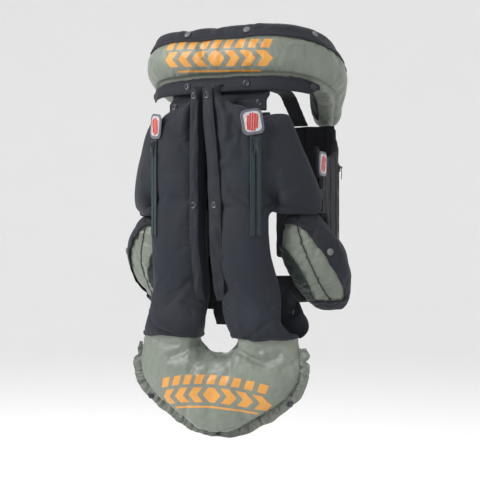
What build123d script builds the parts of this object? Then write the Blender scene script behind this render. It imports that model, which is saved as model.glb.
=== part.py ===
"""A wearable airbag vest, shown inflated: neck collar, two back lobes, hip bags and tail bag.

Millimetres. +X is the wearer's right, +Y is the way the wearer faces, +Z is up.
The origin is the centre of the neck opening, at the level where the collar rests on the shoulders.
Pieces that come in pairs are modelled on the wearer's right and mirrored to the left.
"""

import os
from math import cos, radians, sin

from build123d import *

# ---- driving dimensions -------------------------------------------------------------------------

CLOTH = 2.4  # a doubled and hemmed cover cloth
PAD = 12.0  # a quilted front panel
WEB, WEB_T = 25.0, 1.8  # webbing width and thickness
GAP = 1.5  # air between neighbouring soft pieces

# The collar's centreline, right half: point, then half-depth and half-height of the tube.
COLLAR = [
    ((0, -90, 50), 37, 48),
    ((60, -89, 50), 37, 48),
    ((118, -72, 49), 38, 48),
    ((152, -28, 42), 40, 47),
    ((163, 28, 26), 41, 45),
    ((151, 83, 5), 37, 41),
    ((132, 130, -23), 32, 35),
    ((114, 168, -52), 25, 27),
]

# Horizontal sections, from the top down: height, centre x and y, half-width and half-depth.
LOBE = [
    (-12, 24, -152, 13, 10),
    (-60, 44, -150, 33, 23),
    (-110, 62, -147, 53, 30),
    (-155, 63, -147, 55, 30),
    (-200, 64, -147, 56, 30),
    (-250, 64, -147, 56, 30),
    (-300, 64, -146, 56, 30),
    (-350, 67, -137, 57, 31),
    (-416, 75, -121, 59, 32),
    (-484, 96, -105, 67, 33),
]
TAIL = [
    (-487, 0, -103, 163, 34),
    (-540, 0, -104, 170, 38),
    (-580, 0, -106, 158, 36),
    (-618, 0, -110, 116, 29),
    (-646, 0, -114, 68, 19),
    (-660, 0, -117, 34, 10),
]
WING = [
    (-58, 125, -104, 12, 7),
    (-115, 140, -115, 29, 14),
    (-170, 151, -110, 42, 18),
    (-228, 160, -102, 51, 19),
    (-254, 160, -99, 44, 11),
]
WING_TURN = 47  # how far the wing's sections turn round the ribs, in degrees
HIP = [
    (-259, 163, -78, 30, 15),
    (-290, 171, -70, 48, 27),
    (-325, 177, -57, 60, 34),
    (-360, 180, -40, 61, 35),
    (-392, 181, -18, 53, 29),
    (-420, 184, 0, 37, 21),
    (-437, 187, 10, 20, 10),
]
HIP_TURN = 39.7

# The front panel: its inner face, its height and its openings.
FRONT_Y, SIDE_X, CORNER_R = 128, 161, 56
PANEL_TOP, PANEL_FOOT = -70, -340
ARMHOLE_Y, ARMHOLE_Z, ARMHOLE_R = 30, -50, 92
NECKLINE_R = 54
PANEL_FACE = FRONT_Y + PAD

ZIP_TAPE, TAPE_T = 20.0, 1.0
TEETH_W, TEETH_T = 5.5, 1.6
BACK_ZIP, FRONT_ZIP = 184, 170  # lengths
LABEL_W, LABEL_H, LABEL_T = 45, 48, 1.5

SNAP_R, SNAP_T = 6.5, 1.8
RING_R, RING_HOLE, RING_T = 6.2, 2.6, 1.2

BUCKLE_W, BUCKLE_T, BUCKLE_L = 32, 9, 36
CAVITY_W, CAVITY_T = 27, 5.4
BUCKLE_GAP = 0.3

AXIS_X, AXIS_Y = 124, 155  # the inflator's firing axis
BORE_R, PIN_R = 4.2, 3.9
NECK_R, THREAD_R = 6.2, 6.5
TIP_R = 1.2
CARTRIDGE_R, POUCH_R = 13.5, 14.2
HOSE_R = 5.0
EYE_R = 5.0


def wall_plane(x, y, z, turn):
    """A plane on an upright wall: local x runs along the wall, local y up, and local z out of it.

    turn is the angle of the outward normal, counted from +X towards +Y.
    """
    out = Vector(cos(radians(turn)), sin(radians(turn)), 0)
    return Plane(origin=(x, y, z), x_dir=Vector(0, 0, 1).cross(out), z_dir=out)


def horizontal_loft(stations, turn=0.0, grow=0.0):
    """A solid through horizontal ellipses, one for each station, each grown by the same amount."""
    with BuildPart() as body:
        for z, x, y, half_x, half_y in stations:
            with BuildSketch(Plane.XY.offset(z)):
                with Locations((x, y)):
                    Ellipse(half_x + grow, half_y + grow, rotation=turn)
        loft()
    return body.part


def shortened(stations, end):
    """The stations with both ends moved inwards, for a body inside a cover."""
    first, last = stations[0], stations[-1]
    return [(first[0] - end, *first[1:]), *stations[1:-1], (last[0] + end, *last[1:])]


# ---- collar -------------------------------------------------------------------------------------

LAST = len(COLLAR) - 1
with BuildLine() as collar_line:
    left_half = [(-point[0], point[1], point[2]) for point, _, _ in COLLAR[:0:-1]]
    right_half = [point for point, _, _ in COLLAR]
    Spline(*left_half, *right_half)
collar_curve = collar_line.edges()[0]


def collar_section(index):
    """One section: a plane with local x away from the neck and local y down, and two half-sizes."""
    (x, y, z), depth, height = COLLAR[abs(index)]
    point = Vector(x if index >= 0 else -x, y, z)
    along = collar_curve.tangent_at(collar_curve.param_at_point(point))
    outwards = Vector(along.Y, -along.X, 0).normalized()
    return Plane(origin=point, x_dir=outwards, z_dir=along), depth, height


def collar_spot(index, angle, lift):
    """A point of one section, at an angle above the tube's outer side and lifted off its surface."""
    plane, depth, height = collar_section(index)
    out = (depth + lift) * cos(radians(angle))
    down = -(height + lift) * sin(radians(angle))
    return plane, out, down


def collar_strip(reach, width, angle, lift):
    """A strip along the collar, as far as one station each way."""
    with BuildPart() as strip:
        for index in range(-reach, reach + 1):
            plane, out, down = collar_spot(index, angle, lift)
            with BuildSketch(plane):
                with Locations((out, down)):
                    Rectangle(CLOTH, width, rotation=-angle)
        loft()
    return strip.part


def collar_skirt(reach, width):
    """An upright strip hanging under the tube, where the collar is sewn to the vest."""
    with BuildPart() as strip:
        for index in range(-reach, reach + 1):
            plane, depth, height = collar_section(index)
            with BuildSketch(plane):
                with Locations((SKIRT_OUT * depth, height + width / 2 - 1)):
                    Rectangle(CLOTH, width)
        loft()
    return strip.part


TOP_FLAP_ANGLE, TOP_FLAP_W = 58, 26
SKIRT_OUT, SKIRT_W = 0.62, 22

with BuildPart() as collar_bag:
    for station in range(-LAST, LAST + 1):
        section, half_depth, half_height = collar_section(station)
        with BuildSketch(section):
            Ellipse(half_depth, half_height)
    loft()

collar_top_flap = collar_strip(LAST - 1, TOP_FLAP_W, TOP_FLAP_ANGLE, GAP + CLOTH / 2)
collar_sleeve = collar_strip(LAST, 44, 180, GAP + CLOTH / 2)
collar_bottom_flap = collar_skirt(3, SKIRT_W)

# ---- yoke, back pads and shoulder straps ------------------------------------------------------------


def arc_plate(half, edge_y, middle_y, thick, top, foot):
    """An upright plate that follows an arc across the wearer's back."""
    with BuildPart() as plate:
        with BuildSketch(Plane.XY.offset(foot)):
            with BuildLine():
                ThreePointArc((-half, edge_y), (0, middle_y), (half, edge_y))
                Line((half, edge_y), (half, edge_y + thick))
                ThreePointArc((half, edge_y + thick), (0, middle_y + thick), (-half, edge_y + thick))
                Line((-half, edge_y + thick), (-half, edge_y))
            make_face()
        extrude(amount=top - foot)
    return plate.part


yoke = arc_plate(103, -114, -122, 4, -24, -62)
inner_back_panel = arc_plate(106, -105, -115, 4, -64, -252)
lumbar_pad = arc_plate(74, -64, -76, 4, -336, -440)

with BuildPart() as hem_tab:
    with BuildSketch(Plane.XZ.offset(73)):
        with BuildLine():
            Polyline((-17, -441), (17, -441), (11, -467), (-11, -467), close=True)
        make_face()
    extrude(amount=CLOTH)

with BuildPart() as shoulder_strap:
    with BuildSketch(Plane.YZ.offset(58)):
        with BuildLine():
            FilletPolyline((-106, -27), (-90, -8), (56, -7), (130, -67), radius=(15, 55))
            offset(amount=3, side=Side.RIGHT)
        make_face()
    extrude(amount=34)

# ---- back cushion and tail ---------------------------------------------------------------------------

with BuildPart() as back_cover:
    add(horizontal_loft(LOBE))
    add(horizontal_loft(shortened(LOBE, CLOTH), grow=-CLOTH), mode=Mode.SUBTRACT)

back_bladder = horizontal_loft(shortened(LOBE, CLOTH + 0.8), grow=-CLOTH - 0.8)
wing_cover = horizontal_loft(WING, turn=WING_TURN)

# A stitched strip beside the slit, lying on the lobe's inner shoulder.
with BuildPart() as placket:
    with BuildSketch(Plane.YZ.offset(8)):
        with BuildLine():
            FilletPolyline((-169, -22), (-178, -110), (-178, -290), (-148, -410), radius=80)
            offset(amount=CLOTH, side=Side.RIGHT)
        make_face()
    extrude(amount=24)

with BuildPart() as tail_bag:
    add(horizontal_loft(TAIL))
    with BuildSketch(Plane.XZ.offset(40)):
        with BuildLine():
            Polyline((33, -480), (33, -498), (18, -514), (-18, -514), (-33, -498), (-33, -480), close=True)
        make_face()
    extrude(amount=130, mode=Mode.SUBTRACT)


def hem_outline(out):
    """The tail's lower outline, moved outwards, from its right edge round to its left."""
    edge = [(170, -530), (169, -548), (159, -580), (117, -618), (70, -646), (34, -660)]
    away = [(0.4, 0), (0.8, -0.1), (0.9, -0.4), (0.69, -0.72), (0.5, -0.86), (0.3, -0.95)]
    right = [(x + out * dx, z + out * dz) for (x, z), (dx, dz) in zip(edge, away)]
    return [*right, *[(-x, z) for x, z in reversed(right)]]


with BuildPart() as tail_hem:
    with BuildSketch(Plane.XZ.offset(104)):
        with BuildLine():
            Polyline(*hem_outline(5), *reversed(hem_outline(21)), close=True)
        make_face()
    extrude(amount=CLOTH)

# The black rim of the cover beside the lobe's foot.
with BuildPart() as side_flap:
    with BuildSketch(Plane.XZ.offset(76)):
        with BuildLine():
            ThreePointArc((122, -394), (164, -434), (181, -485))
            Polyline((181, -485), (141, -485), (108, -430), (122, -394))
        make_face()
    extrude(amount=CLOTH)

# ---- hip bags -------------------------------------------------------------------------------------

hip_bag = horizontal_loft(HIP, turn=HIP_TURN)

with BuildPart() as hip_shell:
    add(horizontal_loft(HIP, turn=HIP_TURN, grow=GAP + CLOTH))
    add(horizontal_loft(shortened(HIP, -1), turn=HIP_TURN, grow=GAP), mode=Mode.SUBTRACT)


def hip_part(shift, keep):
    """The part of the hip bag's cover on one side of a plane that follows the bag's lean."""
    top, foot = Vector(HIP[0][1], HIP[0][2], HIP[0][0]), Vector(HIP[-1][1], HIP[-1][2], HIP[-1][0])
    out = Vector(sin(radians(HIP_TURN)), -cos(radians(HIP_TURN)), 0)
    cut = Plane(origin=top, x_dir=out, z_dir=(foot - top).cross(out))
    with BuildPart() as cover:
        add(hip_shell.part)
        split(bisect_by=cut.offset(shift), keep=keep)
    return cover.part


hip_cover = hip_part(5, Keep.TOP)
hip_lining = hip_part(-34, Keep.BOTTOM)

# ---- belt, side straps and front panel ---------------------------------------------------------------

with BuildPart() as waist_belt:
    with BuildSketch(Plane.XY.offset(-425)):
        with Locations((0, 14)):
            Ellipse(146, 97)
            Ellipse(142.5, 93.5, mode=Mode.SUBTRACT)
        with Locations((0, 110)):
            Rectangle(84, 40, mode=Mode.SUBTRACT)
    extrude(amount=53)

# Webbing that joins the wing to the front panel beneath the arm.
with BuildPart() as side_straps:
    for strap_z in (-196, -240):
        with BuildSketch(Plane.XY.offset(strap_z - WEB / 2)):
            with BuildLine():
                FilletPolyline((173.5, 0), (173.5, -24), (196, -58), radius=20)
                offset(amount=WEB_T, side=Side.LEFT)
            make_face()
        extrude(amount=WEB)

with BuildPart() as front_panel:
    with BuildSketch(Plane.XY.offset(PANEL_FOOT)):
        with BuildLine():
            FilletPolyline((18, FRONT_Y), (SIDE_X, FRONT_Y), (SIDE_X, -28), radius=CORNER_R)
            offset(amount=PAD, side=Side.LEFT)
        make_face()
    extrude(amount=PANEL_TOP - PANEL_FOOT)
    with BuildSketch(Plane.YZ):
        with BuildLine():
            Polyline((-28, -70), (-28, -215), (24, -262), (24, -340), (150, -340), (150, -70), close=True)
        make_face()
        with Locations((ARMHOLE_Y, ARMHOLE_Z)):
            Circle(ARMHOLE_R, mode=Mode.SUBTRACT)
    extrude(amount=200, mode=Mode.INTERSECT)
    with BuildSketch(Plane.XZ.offset(-150)):
        with Locations((0, PANEL_TOP)):
            Circle(NECKLINE_R)
    extrude(amount=60, mode=Mode.SUBTRACT)

# ---- zips and label pockets ------------------------------------------------------------------------------

BACK_ZIP_AT = (106.6, -168.9, -205, -57)  # x, y, height of the middle, and the way it faces
FRONT_ZIP_TURN = 20
FRONT_CENTRE = (SIDE_X - CORNER_R, FRONT_Y - CORNER_R)
FRONT_ZIP_AT = (
    FRONT_CENTRE[0] + (CORNER_R + PAD + 1) * cos(radians(FRONT_ZIP_TURN)),
    FRONT_CENTRE[1] + (CORNER_R + PAD + 1) * sin(radians(FRONT_ZIP_TURN)),
    -235,
    FRONT_ZIP_TURN,
)
PIVOT_UP, PIVOT_OUT = 2.0, 5.9  # the pull's pivot, from the slider's middle and from the tape


def zip_tape(place, length):
    """A closed zip: its tape and the raised row of teeth."""
    wall = wall_plane(*place)
    with BuildPart() as closed_zip:
        with BuildSketch(wall):
            Rectangle(ZIP_TAPE, length)
        extrude(amount=TAPE_T / 2, both=True)
        with BuildSketch(wall.offset(TAPE_T / 2)):
            Rectangle(TEETH_W, length - 6)
        extrude(amount=TEETH_T)
    return closed_zip.part


def slider_plane(place, length):
    """The slider's own plane, at rest near the top end of the zip."""
    x, y, z, turn = place
    return wall_plane(x, y, z + length / 2 - 10, turn)


def zip_slider(place, length):
    """A slider: a shaped plate over the teeth, two lips beside them and two lugs for the pull."""
    wall = slider_plane(place, length)
    with BuildPart() as slider:
        with BuildSketch(wall.offset(TAPE_T / 2 + 0.3)):
            RectangleRounded(9.6, 13, 2.5)
            Rectangle(TEETH_W + 0.6, 20, mode=Mode.SUBTRACT)
        extrude(amount=TEETH_T)
        with BuildSketch(wall.offset(TAPE_T / 2 + 0.3 + TEETH_T)):
            RectangleRounded(9.6, 13, 2.5)
        extrude(amount=1.3)
        with BuildSketch(wall.offset(TAPE_T / 2 + TEETH_T + 1.5)):
            with Locations((-2.4, PIVOT_UP), (2.4, PIVOT_UP)):
                Rectangle(1.2, 4)
        extrude(amount=4)
        with BuildSketch(Plane(origin=wall.origin, x_dir=wall.y_dir, z_dir=wall.x_dir)):
            with Locations((PIVOT_UP, PIVOT_OUT)):
                Circle(0.95)
        extrude(amount=8, both=True, mode=Mode.SUBTRACT)
    return slider.part


def zip_pull(place, length):
    """A pull tab that hangs from a cross pin between the slider's lugs."""
    wall = slider_plane(place, length)
    with BuildPart() as pull:
        with BuildSketch(wall.offset(PIVOT_OUT - 0.7)):
            with Locations((0, PIVOT_UP - 3.5)):
                Rectangle(2.6, 7)
            with Locations((0, PIVOT_UP - 15)):
                RectangleRounded(7, 18, 2)
            with Locations((0, PIVOT_UP - 20)):
                SlotOverall(5, 2.4, rotation=90, mode=Mode.SUBTRACT)
        extrude(amount=1.4)
        with BuildSketch(Plane(origin=wall.origin, x_dir=wall.y_dir, z_dir=wall.x_dir)):
            with Locations((PIVOT_UP, PIVOT_OUT)):
                Circle(0.75)
        extrude(amount=2.9, both=True)
    return pull.part


def label_pocket(x, y, z, turn):
    """A clear pocket with a plain card in it."""
    with BuildPart() as pocket:
        with BuildSketch(wall_plane(x, y, z, turn)):
            RectangleRounded(LABEL_W, LABEL_H, 3)
        extrude(amount=LABEL_T / 2, both=True)
    return pocket.part


# ---- snaps --------------------------------------------------------------------------------------------------


def snap_cap(plane):
    """A domed cap."""
    with BuildPart() as cap:
        with BuildSketch(plane):
            Circle(SNAP_R)
        extrude(amount=SNAP_T)
        fillet(cap.faces().sort_by(Axis(plane.origin, plane.z_dir))[-1].edges(), radius=1.0)
    return cap.part


def snap_ring(plane):
    """The ring of a socket on the other side of the cloth."""
    with BuildPart() as ring:
        with BuildSketch(plane):
            Circle(RING_R)
            Circle(RING_HOLE, mode=Mode.SUBTRACT)
        extrude(amount=RING_T)
    return ring.part


def flap_plane(index):
    """A snap's plane on the outside of the collar's top flap."""
    plane, out, down = collar_spot(index, TOP_FLAP_ANGLE, GAP + CLOTH + 0.9)
    up = Vector(0, 0, 1)
    normal = plane.x_dir * cos(radians(TOP_FLAP_ANGLE)) - plane.y_dir * sin(radians(TOP_FLAP_ANGLE))
    return Plane(origin=plane.from_local_coords((out, down, 0)), x_dir=up.cross(normal), z_dir=normal)


def skirt_plane(index):
    """A snap's plane on the outside of the collar's bottom flap."""
    plane, depth, height = collar_section(index)
    spot = plane.from_local_coords((SKIRT_OUT * depth + CLOTH / 2 + 0.3, height + SKIRT_W / 2 - 1, 0))
    return Plane(origin=spot, x_dir=plane.z_dir, z_dir=plane.x_dir)


cap_planes = [flap_plane(index) for index in (1, 3, 5)]
cap_planes.append(wall_plane(213.8, -75.1, -326, -41))  # hip cover
ring_planes = [
    skirt_plane(1),
    skirt_plane(3),
    wall_plane(90, -117, -46, -82),  # yoke
    wall_plane(16, -173.6, -34, -90),  # placket, top
    wall_plane(23, -180.9, -239, -90),  # placket, middle
    wall_plane(140, -78.9, -440, -90),  # side flap
    wall_plane(148, -106.8, -610, -90),  # tail hem
]
middle_ring = snap_ring(wall_plane(0, -106.8, -672, -90))

# ---- buckles ------------------------------------------------------------------------------------------------


def buckle_socket(y, z):
    """The hollow half of a side-release buckle, open towards the wearer's right."""
    with BuildPart() as socket:
        with BuildSketch(Plane.XZ.offset(-y)):
            with Locations((-4 - BUCKLE_L / 2, z)):
                RectangleRounded(BUCKLE_L, BUCKLE_W, 4)
        extrude(amount=BUCKLE_T / 2, both=True)
        with BuildSketch(Plane.XZ.offset(-y)):
            with Locations((-3 - 13, z)):
                Rectangle(27, CAVITY_W)
            with Locations((-20, z)):
                Rectangle(12, BUCKLE_W + 2)
        extrude(amount=CAVITY_T / 2, both=True, mode=Mode.SUBTRACT)
        with BuildSketch(Plane.XZ.offset(-y)):
            with Locations((-35, z)):
                Rectangle(3.2, WEB + 1)
        extrude(amount=BUCKLE_T, both=True, mode=Mode.SUBTRACT)
    return socket.part


def buckle_plug(y, z):
    """The solid half with its two sprung prongs, its guide and the webbing sewn to it."""
    with BuildPart() as plug:
        with BuildSketch(Plane.XZ.offset(-y)):
            with Locations((3.3, z)):
                RectangleRounded(14, BUCKLE_W, 3)
        extrude(amount=BUCKLE_T / 2, both=True)
        with BuildSketch(Plane.XZ.offset(-y)):
            for side in (-1, 1):
                with Locations((-14, z + side * 9.8)):
                    Rectangle(23, 3)
                with Locations((-21, z + side * 11.2)):
                    RectangleRounded(9, 4, 1.5)
            with Locations((-13, z)):
                Rectangle(20, 4)
        extrude(amount=CAVITY_T / 2 - BUCKLE_GAP, both=True)
        with BuildSketch(Plane.XZ.offset(-y)):
            with Locations((37, z)):
                Rectangle(60, WEB)
        extrude(amount=WEB_T / 2, both=True)
    return plug.part


def ladder_lock(y, z):
    """The adjuster that the plug's webbing slides through."""
    with BuildPart() as lock:
        with BuildSketch(Plane.XZ.offset(-y)):
            with Locations((52, z)):
                RectangleRounded(18, 31, 3)
        extrude(amount=3, both=True)
        with BuildSketch(Plane.YZ.offset(40)):
            with Locations((y, z)):
                Rectangle(WEB_T + 1, WEB + 0.8)
        extrude(amount=30, mode=Mode.SUBTRACT)
    return lock.part


def socket_strap(y, z, end):
    """The short webbing that holds the socket."""
    with BuildPart() as strap:
        with BuildSketch(Plane.XY.offset(z - WEB / 2)):
            with Locations(((-40.4 + end) / 2, y)):
                Rectangle(-40.4 - end, WEB_T)
        extrude(amount=WEB)
    return strap.part


BUCKLES = {"chest": (PANEL_FACE + 6, -120, -74), "belly": (PANEL_FACE + 6, -215, -74), "waist": (112.5, -398, -64)}

# ---- inflator ---------------------------------------------------------------------------------------------------

BODY_TOP, BODY_FOOT = -195, -237
KEY_Z = -219  # the middle of the key's fork
HEAD_FOOT = KEY_Z + 2  # where the firing pin's head rests on the fork
NECK_TOP = -225

with BuildPart() as inflator_body:
    with BuildSketch(Plane.XY.offset(BODY_FOOT)):
        with Locations((AXIS_X, AXIS_Y)):
            RectangleRounded(36, 27, 6)
    extrude(amount=BODY_TOP - BODY_FOOT)
    fillet(inflator_body.faces().sort_by(Axis.Z)[-1].edges(), radius=2)
    with BuildSketch(Plane.XY.offset(BODY_FOOT)):
        with Locations((AXIS_X, AXIS_Y)):
            Circle(THREAD_R)
    extrude(amount=NECK_TOP + 0.5 - BODY_FOOT, mode=Mode.SUBTRACT)
    with BuildSketch(Plane.XY.offset(BODY_FOOT)):
        with Locations((AXIS_X, AXIS_Y)):
            Circle(BORE_R)
    extrude(amount=BODY_TOP - 4 - BODY_FOOT, mode=Mode.SUBTRACT)
    with BuildSketch(Plane.XZ.offset(-AXIS_Y + 5)):
        with Locations((AXIS_X, KEY_Z)):
            Rectangle(8.6, 4.6)
    extrude(amount=-40, mode=Mode.SUBTRACT)

with BuildPart() as firing_pin:
    with BuildSketch(Plane.XY.offset(HEAD_FOOT)):
        with Locations((AXIS_X, AXIS_Y)):
            Circle(PIN_R)
    extrude(amount=7)
    with BuildSketch(Plane.XY.offset(HEAD_FOOT)):
        with Locations((AXIS_X, AXIS_Y)):
            Circle(TIP_R)
    extrude(amount=-5.5)

with BuildPart() as firing_spring:
    with BuildSketch(Plane.XY.offset(HEAD_FOOT + 7.1)):
        with Locations((AXIS_X, AXIS_Y)):
            Circle(3.6)
            Circle(2.8, mode=Mode.SUBTRACT)
    extrude(amount=BODY_TOP - 4 - HEAD_FOOT - 7.2)

# The key's fork is a wedge: as it is drawn out, the pin's head sinks along it at one in five.
with BuildPart() as release_key:
    with BuildSketch(Plane.YZ.offset(AXIS_X - 4)):
        with BuildLine():
            front, rear = AXIS_Y + PIN_R + 0.3, AXIS_Y - 4.5
            Polyline((rear, KEY_Z - 2), (rear, KEY_Z - 0.1), (front, HEAD_FOOT - 0.05), (AXIS_Y + 17, HEAD_FOOT - 0.05),
                     (AXIS_Y + 17, KEY_Z - 2), close=True)
        make_face()
    extrude(amount=8)
    with BuildSketch(Plane.XY.offset(KEY_Z - 4)):
        with Locations((AXIS_X, AXIS_Y - 2)):
            SlotOverall(14, 3.2, rotation=90)
    extrude(amount=8, mode=Mode.SUBTRACT)
    with BuildSketch(Plane.YZ.offset(AXIS_X)):
        with Locations((AXIS_Y + 25, KEY_Z)):
            Circle(10)
            Circle(EYE_R, mode=Mode.SUBTRACT)
    extrude(amount=1.5, both=True)

with BuildPart() as gas_cartridge:
    with BuildSketch(Plane.XZ.offset(-AXIS_Y)):
        with BuildLine():
            FilletPolyline((AXIS_X, -342), (AXIS_X + CARTRIDGE_R, -342), (AXIS_X + CARTRIDGE_R, -252),
                           (AXIS_X + NECK_R, -241), (AXIS_X + NECK_R, NECK_TOP), (AXIS_X, NECK_TOP),
                           radius=(5, 6, 2, 0.6))
            Line((AXIS_X, NECK_TOP), (AXIS_X, -342))
        make_face()
    revolve(axis=Axis((AXIS_X, AXIS_Y, 0), (0, 0, 1)))
    # The well in the cap is where the pin's tip goes through the seal.
    with BuildSketch(Plane.XY.offset(NECK_TOP)):
        with Locations((AXIS_X, AXIS_Y)):
            Circle(TIP_R + 0.5)
    extrude(amount=-4.5, mode=Mode.SUBTRACT)

with BuildPart() as cartridge_pouch:
    with BuildSketch(Plane.XY.offset(-346)):
        with Locations((AXIS_X, AXIS_Y + 1)):
            RectangleRounded(36, 31, 8)
    extrude(amount=78)
    with BuildSketch(Plane.XY.offset(-343)):
        with Locations((AXIS_X, AXIS_Y)):
            Circle(POUCH_R)
    extrude(amount=90, mode=Mode.SUBTRACT)

with BuildPart() as gas_hose:
    with BuildLine():
        hose = FilletPolyline((116, 149, BODY_TOP), (116, 149, -132), (113, 166, -81), radius=70)
    with BuildSketch(Plane(origin=hose @ 0, z_dir=hose % 0)):
        Circle(HOSE_R)
    sweep()

# ---- the finished pieces -----------------------------------------------------------------------------------------

pieces = {
    "collar_bag": collar_bag.part,
    "collar_top_flap": collar_top_flap,
    "collar_bottom_flap": collar_bottom_flap,
    "collar_sleeve": collar_sleeve,
    "yoke": yoke,
    "inner_back_panel": inner_back_panel,
    "lumbar_pad": lumbar_pad,
    "hem_tab": hem_tab.part,
    "tail_bag": tail_bag.part,
    "tail_hem_flap": tail_hem.part,
    "waist_belt": waist_belt.part,
    "inflator_body": inflator_body.part,
    "firing_pin": firing_pin.part,
    "firing_spring": firing_spring.part,
    "release_key": release_key.part,
    "gas_cartridge": gas_cartridge.part,
    "cartridge_pouch": cartridge_pouch.part,
    "gas_hose": gas_hose.part,
}

pairs = {
    "shoulder_strap": shoulder_strap.part,
    "back_cover": back_cover.part,
    "back_bladder": back_bladder,
    "wing_cover": wing_cover,
    "placket": placket.part,
    "side_flap": side_flap.part,
    "hip_bag": hip_bag,
    "hip_cover": hip_cover,
    "hip_lining": hip_lining,
    "front_panel": front_panel.part,
    "back_zip": zip_tape(BACK_ZIP_AT, BACK_ZIP),
    "back_zip_slider": zip_slider(BACK_ZIP_AT, BACK_ZIP),
    "back_zip_pull": zip_pull(BACK_ZIP_AT, BACK_ZIP),
    "front_zip": zip_tape(FRONT_ZIP_AT, FRONT_ZIP),
    "front_zip_slider": zip_slider(FRONT_ZIP_AT, FRONT_ZIP),
    "front_zip_pull": zip_pull(FRONT_ZIP_AT, FRONT_ZIP),
}
for name, part in pairs.items():
    pieces[f"right_{name}"] = part
    pieces[f"left_{name}"] = mirror(part, about=Plane.YZ)

for name, (y, z, end) in BUCKLES.items():
    pieces[f"{name}_buckle_plug"] = buckle_plug(y, z)

right_groups = {
    "snap_caps": [snap_cap(plane) for plane in cap_planes],
    "snap_rings": [snap_ring(plane) for plane in ring_planes],
    "label_pockets": [label_pocket(101, -172, -88, -57), label_pocket(174.6, -4, -157, 0)],
}
groups = {name: [*parts, *[mirror(part, about=Plane.YZ) for part in parts]] for name, parts in right_groups.items()}
groups["snap_rings"].append(middle_ring)
groups["side_straps"] = [*side_straps.solids(), *mirror(side_straps.part, about=Plane.YZ).solids()]
groups["buckle_sockets"] = [buckle_socket(y, z) for y, z, _ in BUCKLES.values()]
groups["ladder_locks"] = [ladder_lock(y, z) for y, z, _ in BUCKLES.values()]
groups["socket_straps"] = [socket_strap(*buckle) for buckle in BUCKLES.values()]
for name, parts in groups.items():
    pieces[name] = Compound(children=parts)

os.makedirs("parts", exist_ok=True)
for name, part in pieces.items():
    part.label = name
    export_step(part, f"parts/{name}.step")
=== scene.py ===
from math import cos, pi, radians, sin, tau

import bmesh
import bpy
import numpy as np
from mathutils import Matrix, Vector, noise
from mathutils.bvhtree import BVHTree


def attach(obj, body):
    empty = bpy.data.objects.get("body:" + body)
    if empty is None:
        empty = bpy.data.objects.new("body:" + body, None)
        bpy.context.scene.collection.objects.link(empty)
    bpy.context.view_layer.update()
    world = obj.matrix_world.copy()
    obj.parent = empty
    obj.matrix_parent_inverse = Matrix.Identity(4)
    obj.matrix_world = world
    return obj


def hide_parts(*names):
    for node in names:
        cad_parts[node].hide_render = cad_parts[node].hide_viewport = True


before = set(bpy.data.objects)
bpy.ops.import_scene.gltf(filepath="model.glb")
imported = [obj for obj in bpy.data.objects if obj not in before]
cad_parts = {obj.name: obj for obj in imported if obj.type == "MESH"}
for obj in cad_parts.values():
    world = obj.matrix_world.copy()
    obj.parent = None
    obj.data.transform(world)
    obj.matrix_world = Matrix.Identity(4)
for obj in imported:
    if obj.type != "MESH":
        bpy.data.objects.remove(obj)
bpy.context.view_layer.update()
MM = 0.001
SIDES = {"right": 1, "left": -1}
WELD = 2e-6  # points of a CAD mesh closer than this are one point

# ---- mesh helpers --------------------------------------------------------------------------------


def make(name, points, faces, material, body="vest"):
    """A smooth-shaded piece that rides on a body."""
    mesh = bpy.data.meshes.new(name)
    mesh.from_pydata([tuple(p) for p in points], [], faces)
    mesh.polygons.foreach_set("use_smooth", [True] * len(mesh.polygons))
    mesh.materials.append(material)
    piece = bpy.data.objects.new(name, mesh)
    bpy.context.scene.collection.objects.link(piece)
    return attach(piece, body) if body else piece


def from_bmesh(name, bm, material):
    """A piece in the scene made of a bmesh, which is freed."""
    mesh = bpy.data.meshes.new(name)
    bm.to_mesh(mesh)
    bm.free()
    mesh.materials.clear()
    mesh.materials.append(material)
    piece = bpy.data.objects.new(name, mesh)
    bpy.context.scene.collection.objects.link(piece)
    return piece


def points_of(piece):
    values = np.empty(len(piece.data.vertices) * 3)
    piece.data.vertices.foreach_get("co", values)
    return values.reshape(-1, 3)


def normals_of(piece):
    values = np.empty(len(piece.data.vertices) * 3)
    piece.data.vertices.foreach_get("normal", values)
    return values.reshape(-1, 3)


def move_to(piece, points):
    piece.data.vertices.foreach_set("co", np.asarray(points, float).ravel())
    piece.data.update()


def bake(piece):
    """Applies a piece's modifiers to its mesh."""
    graph = bpy.context.evaluated_depsgraph_get()
    mesh = bpy.data.meshes.new_from_object(piece.evaluated_get(graph))
    old = piece.data
    piece.modifiers.clear()
    piece.data = mesh
    bpy.data.meshes.remove(old)
    mesh.name = piece.name
    return piece


def modify(piece, kind, **settings):
    """Adds a modifier and sets it."""
    modifier = piece.modifiers.new(kind.lower(), kind)
    for key, value in settings.items():
        setattr(modifier, key, value)
    return modifier


def soften(piece, rounds, factor=0.5):
    modify(piece, "SMOOTH", factor=factor, iterations=rounds)
    return bake(piece)


def subdivide(piece):
    modify(piece, "SUBSURF", levels=1)
    return bake(piece)


def tree_of(piece):
    """A search tree of a piece's surface."""
    return BVHTree.FromObject(piece, bpy.context.evaluated_depsgraph_get())


def islands(bm):
    """The mesh's loose parts, as lists of vertices, in the order of their first vertices."""
    left, parts = set(bm.verts), []
    for first in bm.verts:
        if first not in left:
            continue
        left.remove(first)
        stack, part = [first], []
        while stack:
            vert = stack.pop()
            part.append(vert)
            for edge in vert.link_edges:
                other = edge.other_vert(vert)
                if other in left:
                    left.remove(other)
                    stack.append(other)
        parts.append(part)
    return parts


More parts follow.
